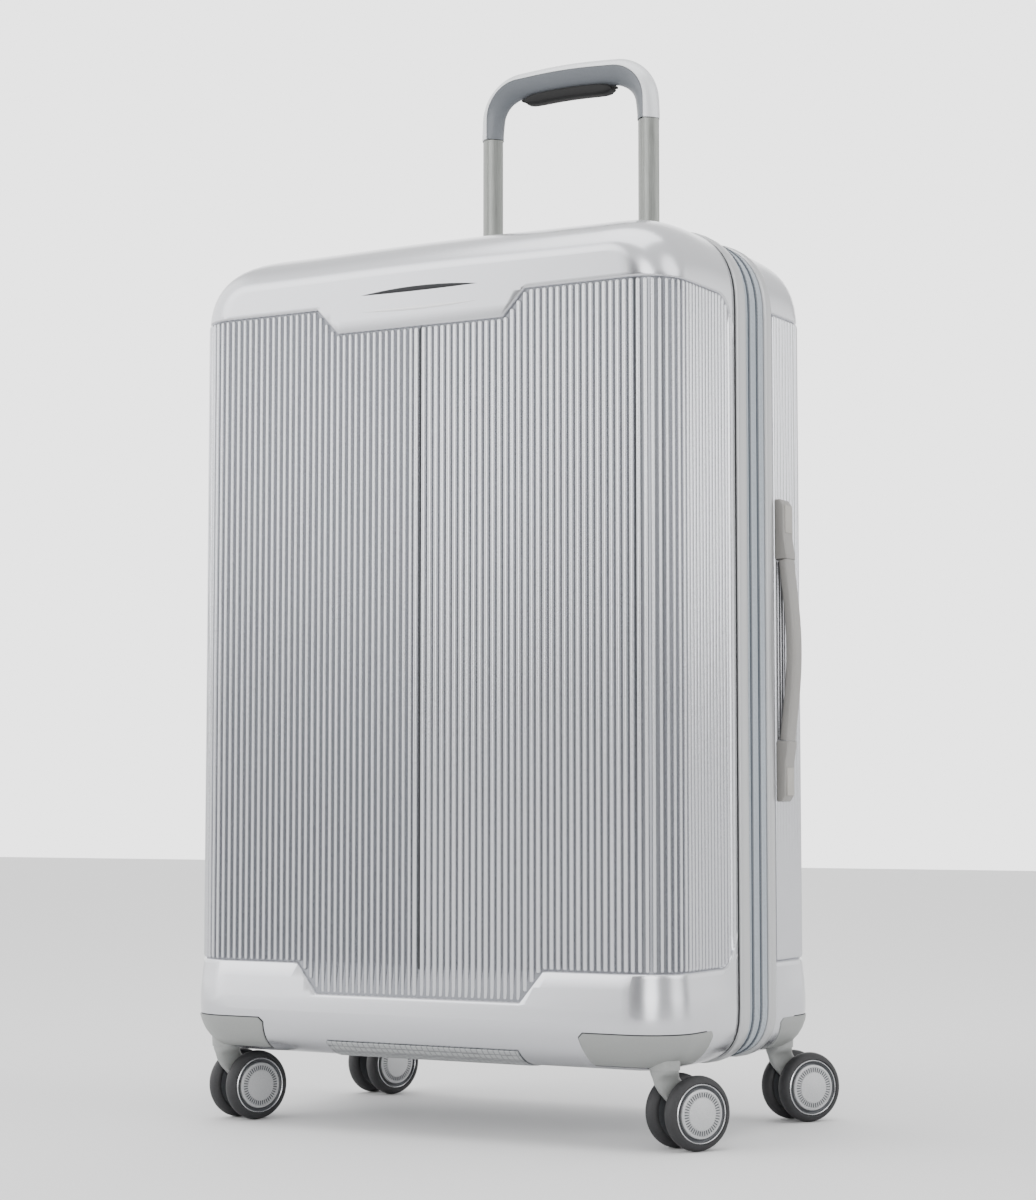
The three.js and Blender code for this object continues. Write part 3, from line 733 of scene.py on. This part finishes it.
def build_zippers():
    strips = [
        ("front_tape", 6.2, MAIN_ZIP_Y - 0.9, "front_half", ["front_zip_tape"]),
        ("middle_tape", MAIN_ZIP_Y + 0.9, EXPANDER_ZIP_Y - 0.9, "expansion_frame", ["middle_zip_band"]),
        ("rear_tape", EXPANDER_ZIP_Y + 0.9, 43.8, "rear_half", ["rear_zip_tape"]),
    ]
    for name, y0, y1, body, nodes in strips:
        finish_piece(name, hoop(tape_profile(y0, y1)), TAPE, body, "zip_cloth", nodes)
    chains = [("main", MAIN_ZIP_Y, "front_half", "expansion_frame"),
              ("expander", EXPANDER_ZIP_Y, "expansion_frame", "rear_half")]
    for name, y, ahead, behind in chains:
        build_coil(y - 1.7, y - 0.1, f"{name}_coil_front", ahead)
        build_coil(y + 0.1, y + 1.7, f"{name}_coil_back", behind)
    for name, y, ahead, behind in chains:
        build_teeth(y, f"{name}_teeth_front", ahead, 0)
        build_teeth(y, f"{name}_teeth_back", behind, 1)
    # The expander's cloth lies in folds behind the tapes
    folds = 6
    pleat = [(23 + 19 * i / folds, -4.2 if i % 2 == 0 else -13.4) for i in range(folds + 1)]
    cloth = finish_piece("expander_cloth", hoop(pleat, closed=False), LINING, None, "lining_fabric",
                         ["expander_gusset"])
    # The length comes from the model's own area, so it can't show whether the cloth is right
    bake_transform(cloth)


# ---- Pull handle ----
def diamond(half_out, half_side, power=1.35, count=32, start=0.0, turn=2 * pi):
    """Points of a rounded diamond section, whole or in part."""
    points = []
    for i in range(count):
        angle = start + turn * i / (count if turn == 2 * pi else count - 1)
        a, b = cos(angle), sin(angle)
        points.append((half_out * abs(a) ** (2 / power) * sign(a),
                       half_side * abs(b) ** (2 / power) * sign(b)))
    return points


def build_tubes():
    stages = (("inner", "handle_inner", 452, LEG_TOP_Z - 0.4, 10.6),
              ("middle", "handle_middle", 240, 690, 12.3),
              ("outer", "rear_half", 98, 693.5, 14.1))
    for kind, body, low, high, half in stages:
        for side, sx in (("left", -1), ("right", 1)):
            bm = bmesh.new()
            outer, inner = diamond(half, half), diamond(half - 1.2, half - 1.2)
            loops = [(outer, low), (outer, high), (inner, high), (inner, low)]

            def place(u, v):
                section, z = loops[round(v * 4) % 4]
                a, b = section[round(u * 32) % 32]
                return sx * (TUBE_X + a), TUBE_Y + b, z

            grid(bm, 32, 4, place)
            weld(bm)
            finish_piece(f"{kind}_tube_body_{side}", bm, TUBE, body, "anodised_aluminium",
                         [f"{kind}_tube_{side}"], angle=28)


def grip_spine():
    """Frames along the pull grip from the left leg over the top to the right leg."""
    radius, spine = 34, []
    side = Vector((0, 1, 0))
    for i in range(4):
        spine.append((Vector((-TUBE_X, TUBE_Y, LEG_TOP_Z + (GRIP_Z - radius - LEG_TOP_Z) * i / 4)),
                      Vector((-1, 0, 0)), side))
    for i in range(15):
        angle = pi - pi / 2 * i / 14
        out = Vector((cos(angle), 0, sin(angle)))
        spine.append((Vector((-TUBE_X + radius, TUBE_Y, GRIP_Z - radius)) + out * radius, out, side))
    for i in range(1, 9):
        share = i / 8
        x = (-TUBE_X + radius) * (1 - share)
        rise = 2 * sin(pi / 2 * share)
        spine.append((Vector((x, TUBE_Y, GRIP_Z + rise)), Vector((0, 0, 1)), side))
    mirrored = [(Vector((-c.x, c.y, c.z)), Vector((-o.x, 0, o.z)), side) for c, o, side in spine[:-1]]
    return spine + mirrored[::-1]


def build_grip():
    spine = grip_spine()
    for name, way, thick, material, slot, node in (
            ("grip_outer_shell", 1, 8.4, GRIP_LIGHT, "grip_light", "grip_top"),
            ("grip_inner_shell", -1, 16.5, GRIP_DARK, "grip_dark", "grip_under")):
        section = [(max(way * a, 0.02) * way, b) for a, b in diamond(1, 12.4, 1.5, 17, -way * pi / 2, pi)]
        frames = []
        for centre, out, side in spine:
            bridge = unit((centre.z - LEG_TOP_Z - 6) / 42)
            frames.append((centre, out * (10.9 + (thick - 10.9) * bridge), side))
        bm = bmesh.new()
        sweep(bm, frames, section)
        finish_piece(name, bm, material, "handle_inner", slot, [node], angle=40)
    build_button()


def build_button():
    bm = bmesh.new()
    spine = []
    for i in range(25):
        share = i / 12 - 1
        end = sqrt(max(1 - abs(share) ** 9, 0.04))
        centre = Vector((46 * share, TUBE_Y, BUTTON_Z + 1.8 * cos(pi / 2 * share)))
        spine.append((centre, Vector((0, 0, 1)) * end, Vector((0, 1, 0)) * (0.7 + 0.3 * end)))
    section = [(5.6 * a, 7.2 * b) for a, b in diamond(1, 1, 3.4, 28)]
    sweep(bm, spine, section)
    for sx in (-1, 1):
        low, high = sorted((sx * 44, sx * 50))
        block(bm, (low, TUBE_Y - 3, 929.2), (high, TUBE_Y + 3, 931.6), 1.0)
    finish_piece("release_button_pad", bm, BUTTON, "release_button", "button_rubber", ["release_button"],
                 angle=50)


def squarish(u, half_x, half_y):
    """A point on a rounded rectangle about the origin, u running once round."""
    a, b = cos(2 * pi * u), sin(2 * pi * u)
    return half_x * abs(a) ** 0.25 * sign(a), half_y * abs(b) ** 0.25 * sign(b)


def build_cup():
    """The sunk tray that the grip drops into, with a flange and a collar round each tube."""
    half, y0, y1 = CUP["half"] - 1, CUP["y0"] + 1, CUP["y1"] - 1
    mid_y, half_y = (y0 + y1) / 2, (y1 - y0) / 2

    def surface(x, y):
        past = max(y - (BACK_Y - REAR_TOP_ROUND[0]), 0)
        crown = CROWN * cos(pi / 2 * x / 160) ** 2
        return TOP_Z + crown - come_in(REAR_TOP_ROUND[0] - past, *REAR_TOP_ROUND)

    rings = [(2.8, 0.3), (2.2, 1.3), (0.4, 1.5), (0, 0.8), (-0.2, -1.5), (-0.3, None)]

    def wall(u, v):
        out, lift = rings[round(v * 5)]
        x, y = squarish(u, half + out, half_y + out)
        z = CUP["floor"] if lift is None else surface(x, min(mid_y + y, BACK_Y - 1)) + lift
        return x, mid_y + y, z

    bm = bmesh.new()
    grid(bm, 96, 5, wall)
    weld(bm)
    finish_piece("handle_cup_tray", bm, TRIM, "rear_half", "trim_plastic", ["handle_cup"])

    # The floor: from each tube's hole out to its half of the tray
    hole, ring = diamond(13.1, 13.1, count=64), diamond(14.4, 13.6, count=64)
    bm, collars = bmesh.new(), bmesh.new()
    for sx in (-1, 1):
        def floor(u, v):
            a, b = hole[round(u * 64) % 64]
            reach = [(half - TUBE_X if a > 0 else TUBE_X) / max(abs(a), 0.01), half_y / max(abs(b), 0.01)]
            grow = 1 + (min(reach) - 1) * v
            return sx * (TUBE_X + a * grow), TUBE_Y + b * grow, CUP["floor"] + 0.1

        def collar(u, v):
            section, z = ((ring, 697.2), (ring, 698.8), (hole, 698.8), (hole, 697.2))[round(v * 4) % 4]
            a, b = section[round(u * 64) % 64]
            return sx * (TUBE_X + a), TUBE_Y + b, z

        grid(bm, 64, 1, floor)
        grid(collars, 64, 4, collar)
    weld(bm)
    weld(collars)
    finish_piece("handle_cup_floor", bm, TRIM, "rear_half", "trim_plastic")
    finish_piece("tube_collars", collars, GRIP_DARK, "rear_half", "trim_plastic")


# ---- Carry handles ----
SIDE_HANDLE = Matrix.Translation((HALF_WIDTH, 74, 403)) @ Matrix.Rotation(pi / 2, 4, "Y")
TOP_HANDLE = Matrix.Translation((0, 82, TOP_Z + CROWN))


def build_carry(name, matrix):
    """A bowed grip between two end mounts, along local X and rising along local Z."""
    body = f"{name}_grip"
    for label, sx in (("a", 1), ("b", -1)):
        bm = bmesh.new()
        outline = [(129, -1), (129, 4.5), (124, 7.6), (96, 8.2), (77.4, 11), (77.4, -1)]

        def place(u, v):
            x, z = outline[round(u * 6) % 6]
            return sx * x, (v - 0.5) * 19, z

        grid(bm, 6, 1, place)
        weld(bm)
        close_ends(bm)
        soften(bm, 1.4, 3)
        finish_piece(f"{name}_mount_body_{label}", bm, CARRY, "rear_half", "carry_plastic",
                     [f"{name}_handle_mount_{label}"], matrix)
        low, high = sorted((sx * 100, sx * 124))
        block_piece(f"{name}_mount_pad_{label}", [((low, -7, 7.2), (high, 7, 8.9), 0.8)],
                    CARRY_PAD, "rear_half", "carry_plastic", (), matrix)
    bm = bmesh.new()
    spine = []
    for i in range(33):
        share = i / 16 - 1
        x = 76.8 * share
        rise = 6.2 + 6.2 * cos(pi / 2 * share) ** 1.2
        slope = -6.2 * pi / 2 * sin(pi / 2 * share) / 76.8
        out = Vector((-slope, 0, 1)).normalized()
        spine.append((Vector((x, 0, rise)), out, Vector((0, 1, 0))))
    section = [(4.5 * a, 9.2 * b) for a, b in diamond(1, 1, 4.2, 28)]
    sweep(bm, spine, section)
    finish_piece(f"{name}_grip_bow", bm, CARRY, body, "carry_plastic", [f"{name}_handle_grip"], matrix,
                 angle=45)


# ---- Casters ----
CASTERS = {"front_right": (1, -1), "front_left": (-1, -1), "rear_right": (1, 1), "rear_left": (-1, 1)}


def caster_place(name):
    """Turns caster space (stem on Z, wheels trailing along X) into case space."""
    swivel, roll = JOINTS[f"swivel_{name}"], JOINTS[f"roll_{name}"]
    trail = Vector(roll["pos_m"]) - Vector(swivel["pos_m"])
    stem = (Vector(swivel["pos_m"]) - MIDDLE) * 1000
    return Matrix.Translation((stem.x, stem.y, 0)) @ Matrix.Rotation(atan2(trail.y, trail.x), 4, "Z")


def build_fork(name, matrix):
    bm = bmesh.new()
    # height, middle, half length along the trail, half thickness
    stations = [(65.6, 0, 10.6, 10.6), (62, 0, 10.8, 10.6), (59.6, 0.5, 11.2, 8.5), (57, 1.5, 12, 5.2),
                (52, 4.5, 13.5, 4.7), (46, 9, 14, 4.7), (40, 14, 13, 4.7), (34, 18.5, 11, 4.7),
                (28, 22, 9, 4.7), (23, 22.6, 7, 4.4), (20.5, 22.8, 3.5, 3.0)]
    spine = [(Vector((x, 0, z)), Vector((half, 0, 0)), Vector((0, thick, 0)))
             for z, x, half, thick in stations]
    sweep(bm, spine, diamond(1, 1, 2.6, 28))
    soften(bm, 0.4, 1, 60)
    finish_piece(f"fork_horn_{name}", bm, TRIM, f"caster_{name}", "trim_plastic", [f"fork_{name}"], matrix,
                 angle=50)


def build_wheel(name, label, way, matrix):
    """A tyre, a plated ring, a dark dish and a hub cap with ticks round it."""
    body, centre = f"wheels_{name}", way * 13.2
    place = matrix @ Matrix.Translation((TRAIL, centre, WHEEL_RADIUS)) @ Matrix.Scale(way, 4, (0, 1, 0))
    r = WHEEL_RADIUS
    bm = bmesh.new()
    crown = [(r - 5.4 + 5.4 * sin(pi * i / 14), -7 + 7 * (1 - cos(pi * i / 14))) for i in range(15)]
    lathe(bm, [(23, -6.2)] + crown + [(23.8, 6.4), (23.4, 5.4), (23, -6.2)], 64)
    finish_piece(f"tyre_band_{name}_{label}", bm, TYRE, body, "tyre_rubber", [f"tyre_{name}_{label}"], place)
    bm = bmesh.new()
    lathe(bm, [(3.4, -5.8), (22.9, -5.8), (22.9, 4.6), (20.2, 3.2), (18.7, 3.6), (3.4, 4.4), (3.4, -5.8)])
    finish_piece(f"hub_dish_{name}_{label}", bm, HUB_DARK, body, "hub_plastic",
                 [f"hub_{name}_{label}"], place)
    bm = bmesh.new()
    lathe(bm, [(22.3, 4.4), (22.4, 6.2), (22.9, 6.7), (23.5, 6.3), (23.4, 5), (22.3, 4.4)])
    finish_piece(f"hub_ring_{name}_{label}", bm, HUB_RING, body, "hub_plastic", (), place)
    bm = bmesh.new()
    lathe(bm, [(19.4, 4.2), (19.4, 6.3), (18.9, 6.9), (17.6, 7.1), (17.2, 6.6), (12.8, 6.9), (12.6, 7.3),
               (6, 7.9), (0, 8.1), (0, 4.2), (19.4, 4.2)])
    finish_piece(f"hub_cap_{name}_{label}", bm, HUB_CAP, body, "hub_plastic", (), place)
    bm = bmesh.new()
    for i in range(44):
        turn = Matrix.Rotation(2 * pi * i / 44, 4, "Y")
        tick = Matrix.Translation((15.0, 6.8, 0)) @ Matrix.Diagonal((3.6, 0.7, 0.9, 1))
        bmesh.ops.create_cube(bm, size=1, matrix=turn @ tick)
    finish_piece(f"hub_ticks_{name}_{label}", bm, HUB_DARK, body, "hub_plastic", (), place, outward=False)


def corner_block(sx, sy, front, proud, g):
    """The case's form cut to the block behind a caster, grown by proud, and by g at its cuts."""
    bm = half_form(front, -proud, edge_y=-40 if front else 61)
    close_ends(bm)
    planes = [((sx * (151 - g), 0, 92), (-sx, 0, -0.18)), ((0, sy * (68 - g), 92), (0, -sy, -0.3)),
              ((0, 0, 65.5 - g), (0, 0, -1)), ((0, 0, 91.8 + g), (0, 0, 1)),
              ((sx * (153.5 - g), 0, 89.8 + g), (-sx, 0, 1.1)),
              ((0, sy * (71 - g), 89.8 + g), (0, -sy, 1.1))]
    trim(bm, planes, close=True)
    weld(bm, 0.05)
    return bm


def build_housing(name, sx, sy, front):
    """A corner block with rounded edges, set on a slightly larger near-black piece that paints the shade of
    a groove round it.
    """
    body = "front_half" if front else "rear_half"
    bm = corner_block(sx, sy, front, 0.9, 0)
    soften(bm, 1.2, 2, 32)
    x, y = (Vector(JOINTS[f"swivel_{name}"]["pos_m"]) - MIDDLE).xy * 1000
    bmesh.ops.create_cone(bm, cap_ends=True, segments=40, radius1=12.4, radius2=12.8, depth=8,
                          matrix=Matrix.Translation((x, y, 67.5)))
    finish_piece(f"housing_body_{name}", bm, TRIM, body, "trim_plastic", [f"housing_{name}"], angle=30)
    # Near-black piece just past the housing's edges: painted shade for the groove
    finish_piece(f"housing_painted_shade_{name}", corner_block(sx, sy, front, 0.12, 0.9), SHADE_BLACK, body,
                 "button_rubber", angle=30)


def build_casters():
    for name, (sx, sy) in CASTERS.items():
        matrix = caster_place(name)
        build_housing(name, sx, sy, sy < 0)
        build_fork(name, matrix)
        for label, way in (("a", -1), ("b", 1)):
            build_wheel(name, label, way, matrix)
        bm = bmesh.new()
        lathe(bm, [(0, -14), (2.9, -14), (2.9, 14), (0, 14)], 24)
        finish_piece(f"axle_pin_{name}", bm, ZINC, f"wheels_{name}", "bright_steel", [f"axle_{name}"],
                     matrix @ Matrix.Translation((TRAIL, 0, WHEEL_RADIUS)))


# ---- Small parts ----
def crescent(bm, length, thick, height, z, sag):
    """A tapered bar on the front of the top cap, pointed at both ends."""
    def place(u, v):
        share = 2 * u - 1
        angle = pi * v
        size = max(1 - share * share, 0.01)
        middle = z + sag * share * share
        y = FRONT_Y + 0.12 - height * size ** 0.5 * sin(angle)
        return length * share, y, middle - thick * size * cos(angle)

    grid(bm, 40, 8, place)


def build_badge():
    """A blank place for a name: a dark bar above that paints the shadow of an overhanging edge, and a raised
    line below whose white paints the light its edge catches.
    """
    bars = (("badge_painted_shadow", (58, 2.2, 0.75, 702, -1.5), SHADE_BLACK, "button_rubber"),
            ("badge_ridge_painted_highlight", (57, 1.5, 1.3, 685.5, 1), BADGE_HIGHLIGHT_WHITE, "hub_plastic"))
    for name, form, material, slot in bars:
        bm = bmesh.new()
        crescent(bm, *form)
        weld(bm, 0.01)
        finish_piece(name, bm, material, "front_half", slot)


def build_small_parts():
    bm = half_form(True, -0.9)
    planes = [((-92, 0, 0), (-1, 0, 0)), ((92, 0, 0), (1, 0, 0)), ((0, 0, 74), (0, 0, 1)),
              ((0, -92, 0), (0, 1, 0))]
    trim(bm, planes)
    strip = finish_piece("grab_strip", bm, TEXTURED, "front_half", "trim_plastic", ["bottom_grip"])
    solidify(strip, 0.8)
    block_piece("lock_case", [((-166, 60, 753.2), (-132, 78, 760), 1.8, 3),
                              ((-161, 63, 759.6), (-137, 75, 760.3), 0.3, 1)],
                TRIM, "rear_half", "trim_plastic", ["lock_body"])
    block_piece("main_zip_slider", [((-156, 6.9, 752.6), (-142, 13.4, 756.2), 1.1, 2),
                                    ((-145, 8.4, 755.6), (-124, 11.8, 757.0), 0.6, 2)],
                ZINC, "front_half", "bright_steel", ["zip_slider"])


def build_lining(front, edge_y, cut_size, **form):
    """Cloth bonded inside a half, with a ledge over the caster housings."""
    bm = half_form(front, LINING_INSET, edge_y=edge_y, lift=27, **form)

    def ledge(u, v):
        x, z = around(u, LINING_INSET, LINING_INSET, 31.4 - 25.4 * v)
        return x, edge_y, z

    grid(bm, 4 * QUARTER, 1, ledge)
    weld(bm)
    side = "front" if front else "rear"
    cloth = finish_piece(f"{side}_lining_cloth", bm, LINING, f"{side}_half", "lining_fabric",
                         [f"{side}_lining"])


def build_divider():
    """The zip-up divider: a thin padded panel with piping and a pocket zip."""
    bm = bmesh.new()
    for side in (-1, 1):
        def face(u, v):
            x, z = column(v, 15, 15, 15)
            puff = (1 - (2 * u - 1) ** 6) * (1 - (2 * v - 1) ** 6)
            return (2 * u - 1) * x, -2.8 + side * (0.7 + 0.9 * puff), z

        grid(bm, 30, 50, face)
    bmesh.ops.bridge_loops(bm, edges=[e for e in bm.edges if e.is_boundary])
    weld(bm, 0.01)
    panel = finish_piece("divider_panel", bm, LINING, "divider", "lining_fabric", ["divider"])
    cord = [(-2.8 + 1.5 * cos(2 * pi * i / 10), -14 + 1.5 * sin(2 * pi * i / 10)) for i in range(10)]
    finish_piece("divider_piping", hoop(cord), WEBBING, "divider", "lining_fabric")
    block_piece("divider_zip_tape", [((-165, -5.1, 596), (165, -4.3, 620), 0.3, 1)],
                TAPE, "divider", "zip_cloth")
    block_piece("divider_zip_coil", [((-160, -5.9, 606.4), (160, -4.9, 609.6), 0.4, 1)],
                COIL, "divider", "zip_cloth")
    block_piece("divider_zip_slider", [((-158, -7.4, 603.6), (-148, -5, 612.4), 0.9, 2),
                                       ((-156, -8.2, 582), (-150, -7.2, 606), 0.4, 1)],
                ZINC, "divider", "bright_steel")


def build_inside():
    build_lining(True, -18.6, (0.74, 0.96))
    build_lining(False, 59, (0.66, 0.86), face_y=107.5)
    build_divider()


def build_hinge():
    low, high = [[(c[i] - MIDDLE[i]) * 1000 for i in range(3)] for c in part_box("hinge_tape")]
    block_piece("hinge_webbing", [(low, high, 0.4, 2)], TAPE, "expansion_frame", "zip_cloth", ["hinge_tape"])


def dress_remaining():
    """The foot bar keeps its CAD shape and only gets its finish here."""
    slots = frame["nodes"]["tube_foot"].data.materials
    slots.clear()
    slots.append(TRIM)


# ---- Stage ----
ROOM_STRENGTH = 5.0  # the brightest level that a panel of the room can have


def build_stage():
    bm = bmesh.new()
    bmesh.ops.create_grid(bm, x_segments=1, y_segments=1, size=8)
    mesh = bpy.data.meshes.new("floor")
    bm.to_mesh(mesh)
    bm.free()
    material, _ = start_material("floor_paint", "#dedede", 0.8)
    mesh.materials.append(material)
    floor = bpy.data.objects.new("floor", mesh)
    bpy.context.scene.collection.objects.link(floor)

    world = bpy.data.worlds.new("studio")
    bpy.context.scene.world = world
    world.use_nodes = True
    tree = world.node_tree
    coords = tree.nodes.new("ShaderNodeTexCoord")

    def room_side(axis, stops):
        """Brightness of the room by how far a direction leans to an axis."""
        lean = tree.nodes.new("ShaderNodeVectorMath")
        lean.operation = "DOT_PRODUCT"
        lean.inputs[1].default_value = Vector(axis).normalized()
        share = tree.nodes.new("ShaderNodeMapRange")
        share.inputs["From Min"].default_value = -1
        ramp = tree.nodes.new("ShaderNodeValToRGB")
        tree.links.new(coords.outputs["Generated"], lean.inputs[0])
        tree.links.new(lean.outputs["Value"], share.inputs["Value"])
        tree.links.new(share.outputs["Result"], ramp.inputs[0])
        elements = ramp.color_ramp.elements
        while len(elements) < len(stops):
            elements.new(0.5)
        for element, (position, level) in zip(elements, stops):
            element.position = (position + 1) / 2
            element.color = [level / ROOM_STRENGTH] * 3 + [1]
        return ramp

    def mix(kind, first, second):
        node = tree.nodes.new("ShaderNodeMix")
        node.data_type, node.blend_type = "RGBA", kind
        node.inputs[0].default_value = 1
        tree.links.new(first.outputs[2 if first.bl_idname == "ShaderNodeMix" else 0], node.inputs[6])
        tree.links.new(second.outputs[0], node.inputs[7])
        return node

    # A white backdrop and ceiling, bright panels at both sides, and a dim gap straight in front
    backdrop = room_side((-0.49, 0.87, 0.1), [(0.8, 0.0), (0.94, 3.0)])
    height = room_side((0, 0, 1), [(-0.1, 0.15), (0.0, 0.25), (0.1, 0.6), (0.4, 1.2), (1.0, 1.35)])
    gap = room_side((-0.14, -0.99, 0.03), [(0.9, 5.0), (0.95, 1.6), (0.975, 0.5)])
    room = mix("LIGHTEN", backdrop, height)
    for axis, stops in (((-1, -0.15, 0.25), [(0.55, 0.0), (0.85, 2.6)]),
                        ((-0.58, -0.75, 0.4), [(0.84, 0.0), (0.93, 3.2), (1.0, 4.4)]),
                        ((0.48, -0.86, 0.25), [(0.94, 0.0), (0.97, 5.0)]),
                        ((1, 0.1, 0.4), [(0.88, 0.0), (0.96, 3.4)]),
                        ((0.49, 0.87, 0.06), [(0.88, 0.0), (0.97, 1.9)])):
        room = mix("LIGHTEN", room, room_side(axis, stops))
    room = mix("MULTIPLY", room, gap)
    tree.links.new(room.outputs[2], tree.nodes["Background"].inputs[0])
    tree.nodes["Background"].inputs[1].default_value = ROOM_STRENGTH

    light = bpy.data.lights.new("top", "AREA")
    light.size, light.energy = 2.0, 34
    lamp = bpy.data.objects.new("top", light)
    lamp.location = (0.0, -0.2, 2.6)
    aim = Vector((0, 0, 0.4)) - lamp.location
    lamp.rotation_euler = aim.to_track_quat("-Z", "Y").to_euler()
    bpy.context.scene.collection.objects.link(lamp)


def build_camera():
    lens = bpy.data.cameras.new("camera")
    lens.lens, lens.sensor_width = 78.33, 36
    camera = bpy.data.objects.new("camera", lens)
    camera.location = Vector((1.1317, -1.9768, 0.2746)) + MIDDLE
    camera.rotation_euler = (radians(90 + 4.4), 0, radians(29.44))
    bpy.context.scene.collection.objects.link(camera)
    bpy.context.scene.camera = camera


build_camera()
build_stage()
build_shells()
build_rims()
build_zippers()
build_tubes()
build_grip()
build_cup()
build_carry("side", SIDE_HANDLE)
build_carry("top", TOP_HANDLE)
build_casters()
build_badge()
build_small_parts()
build_inside()
build_hinge()
dress_remaining()
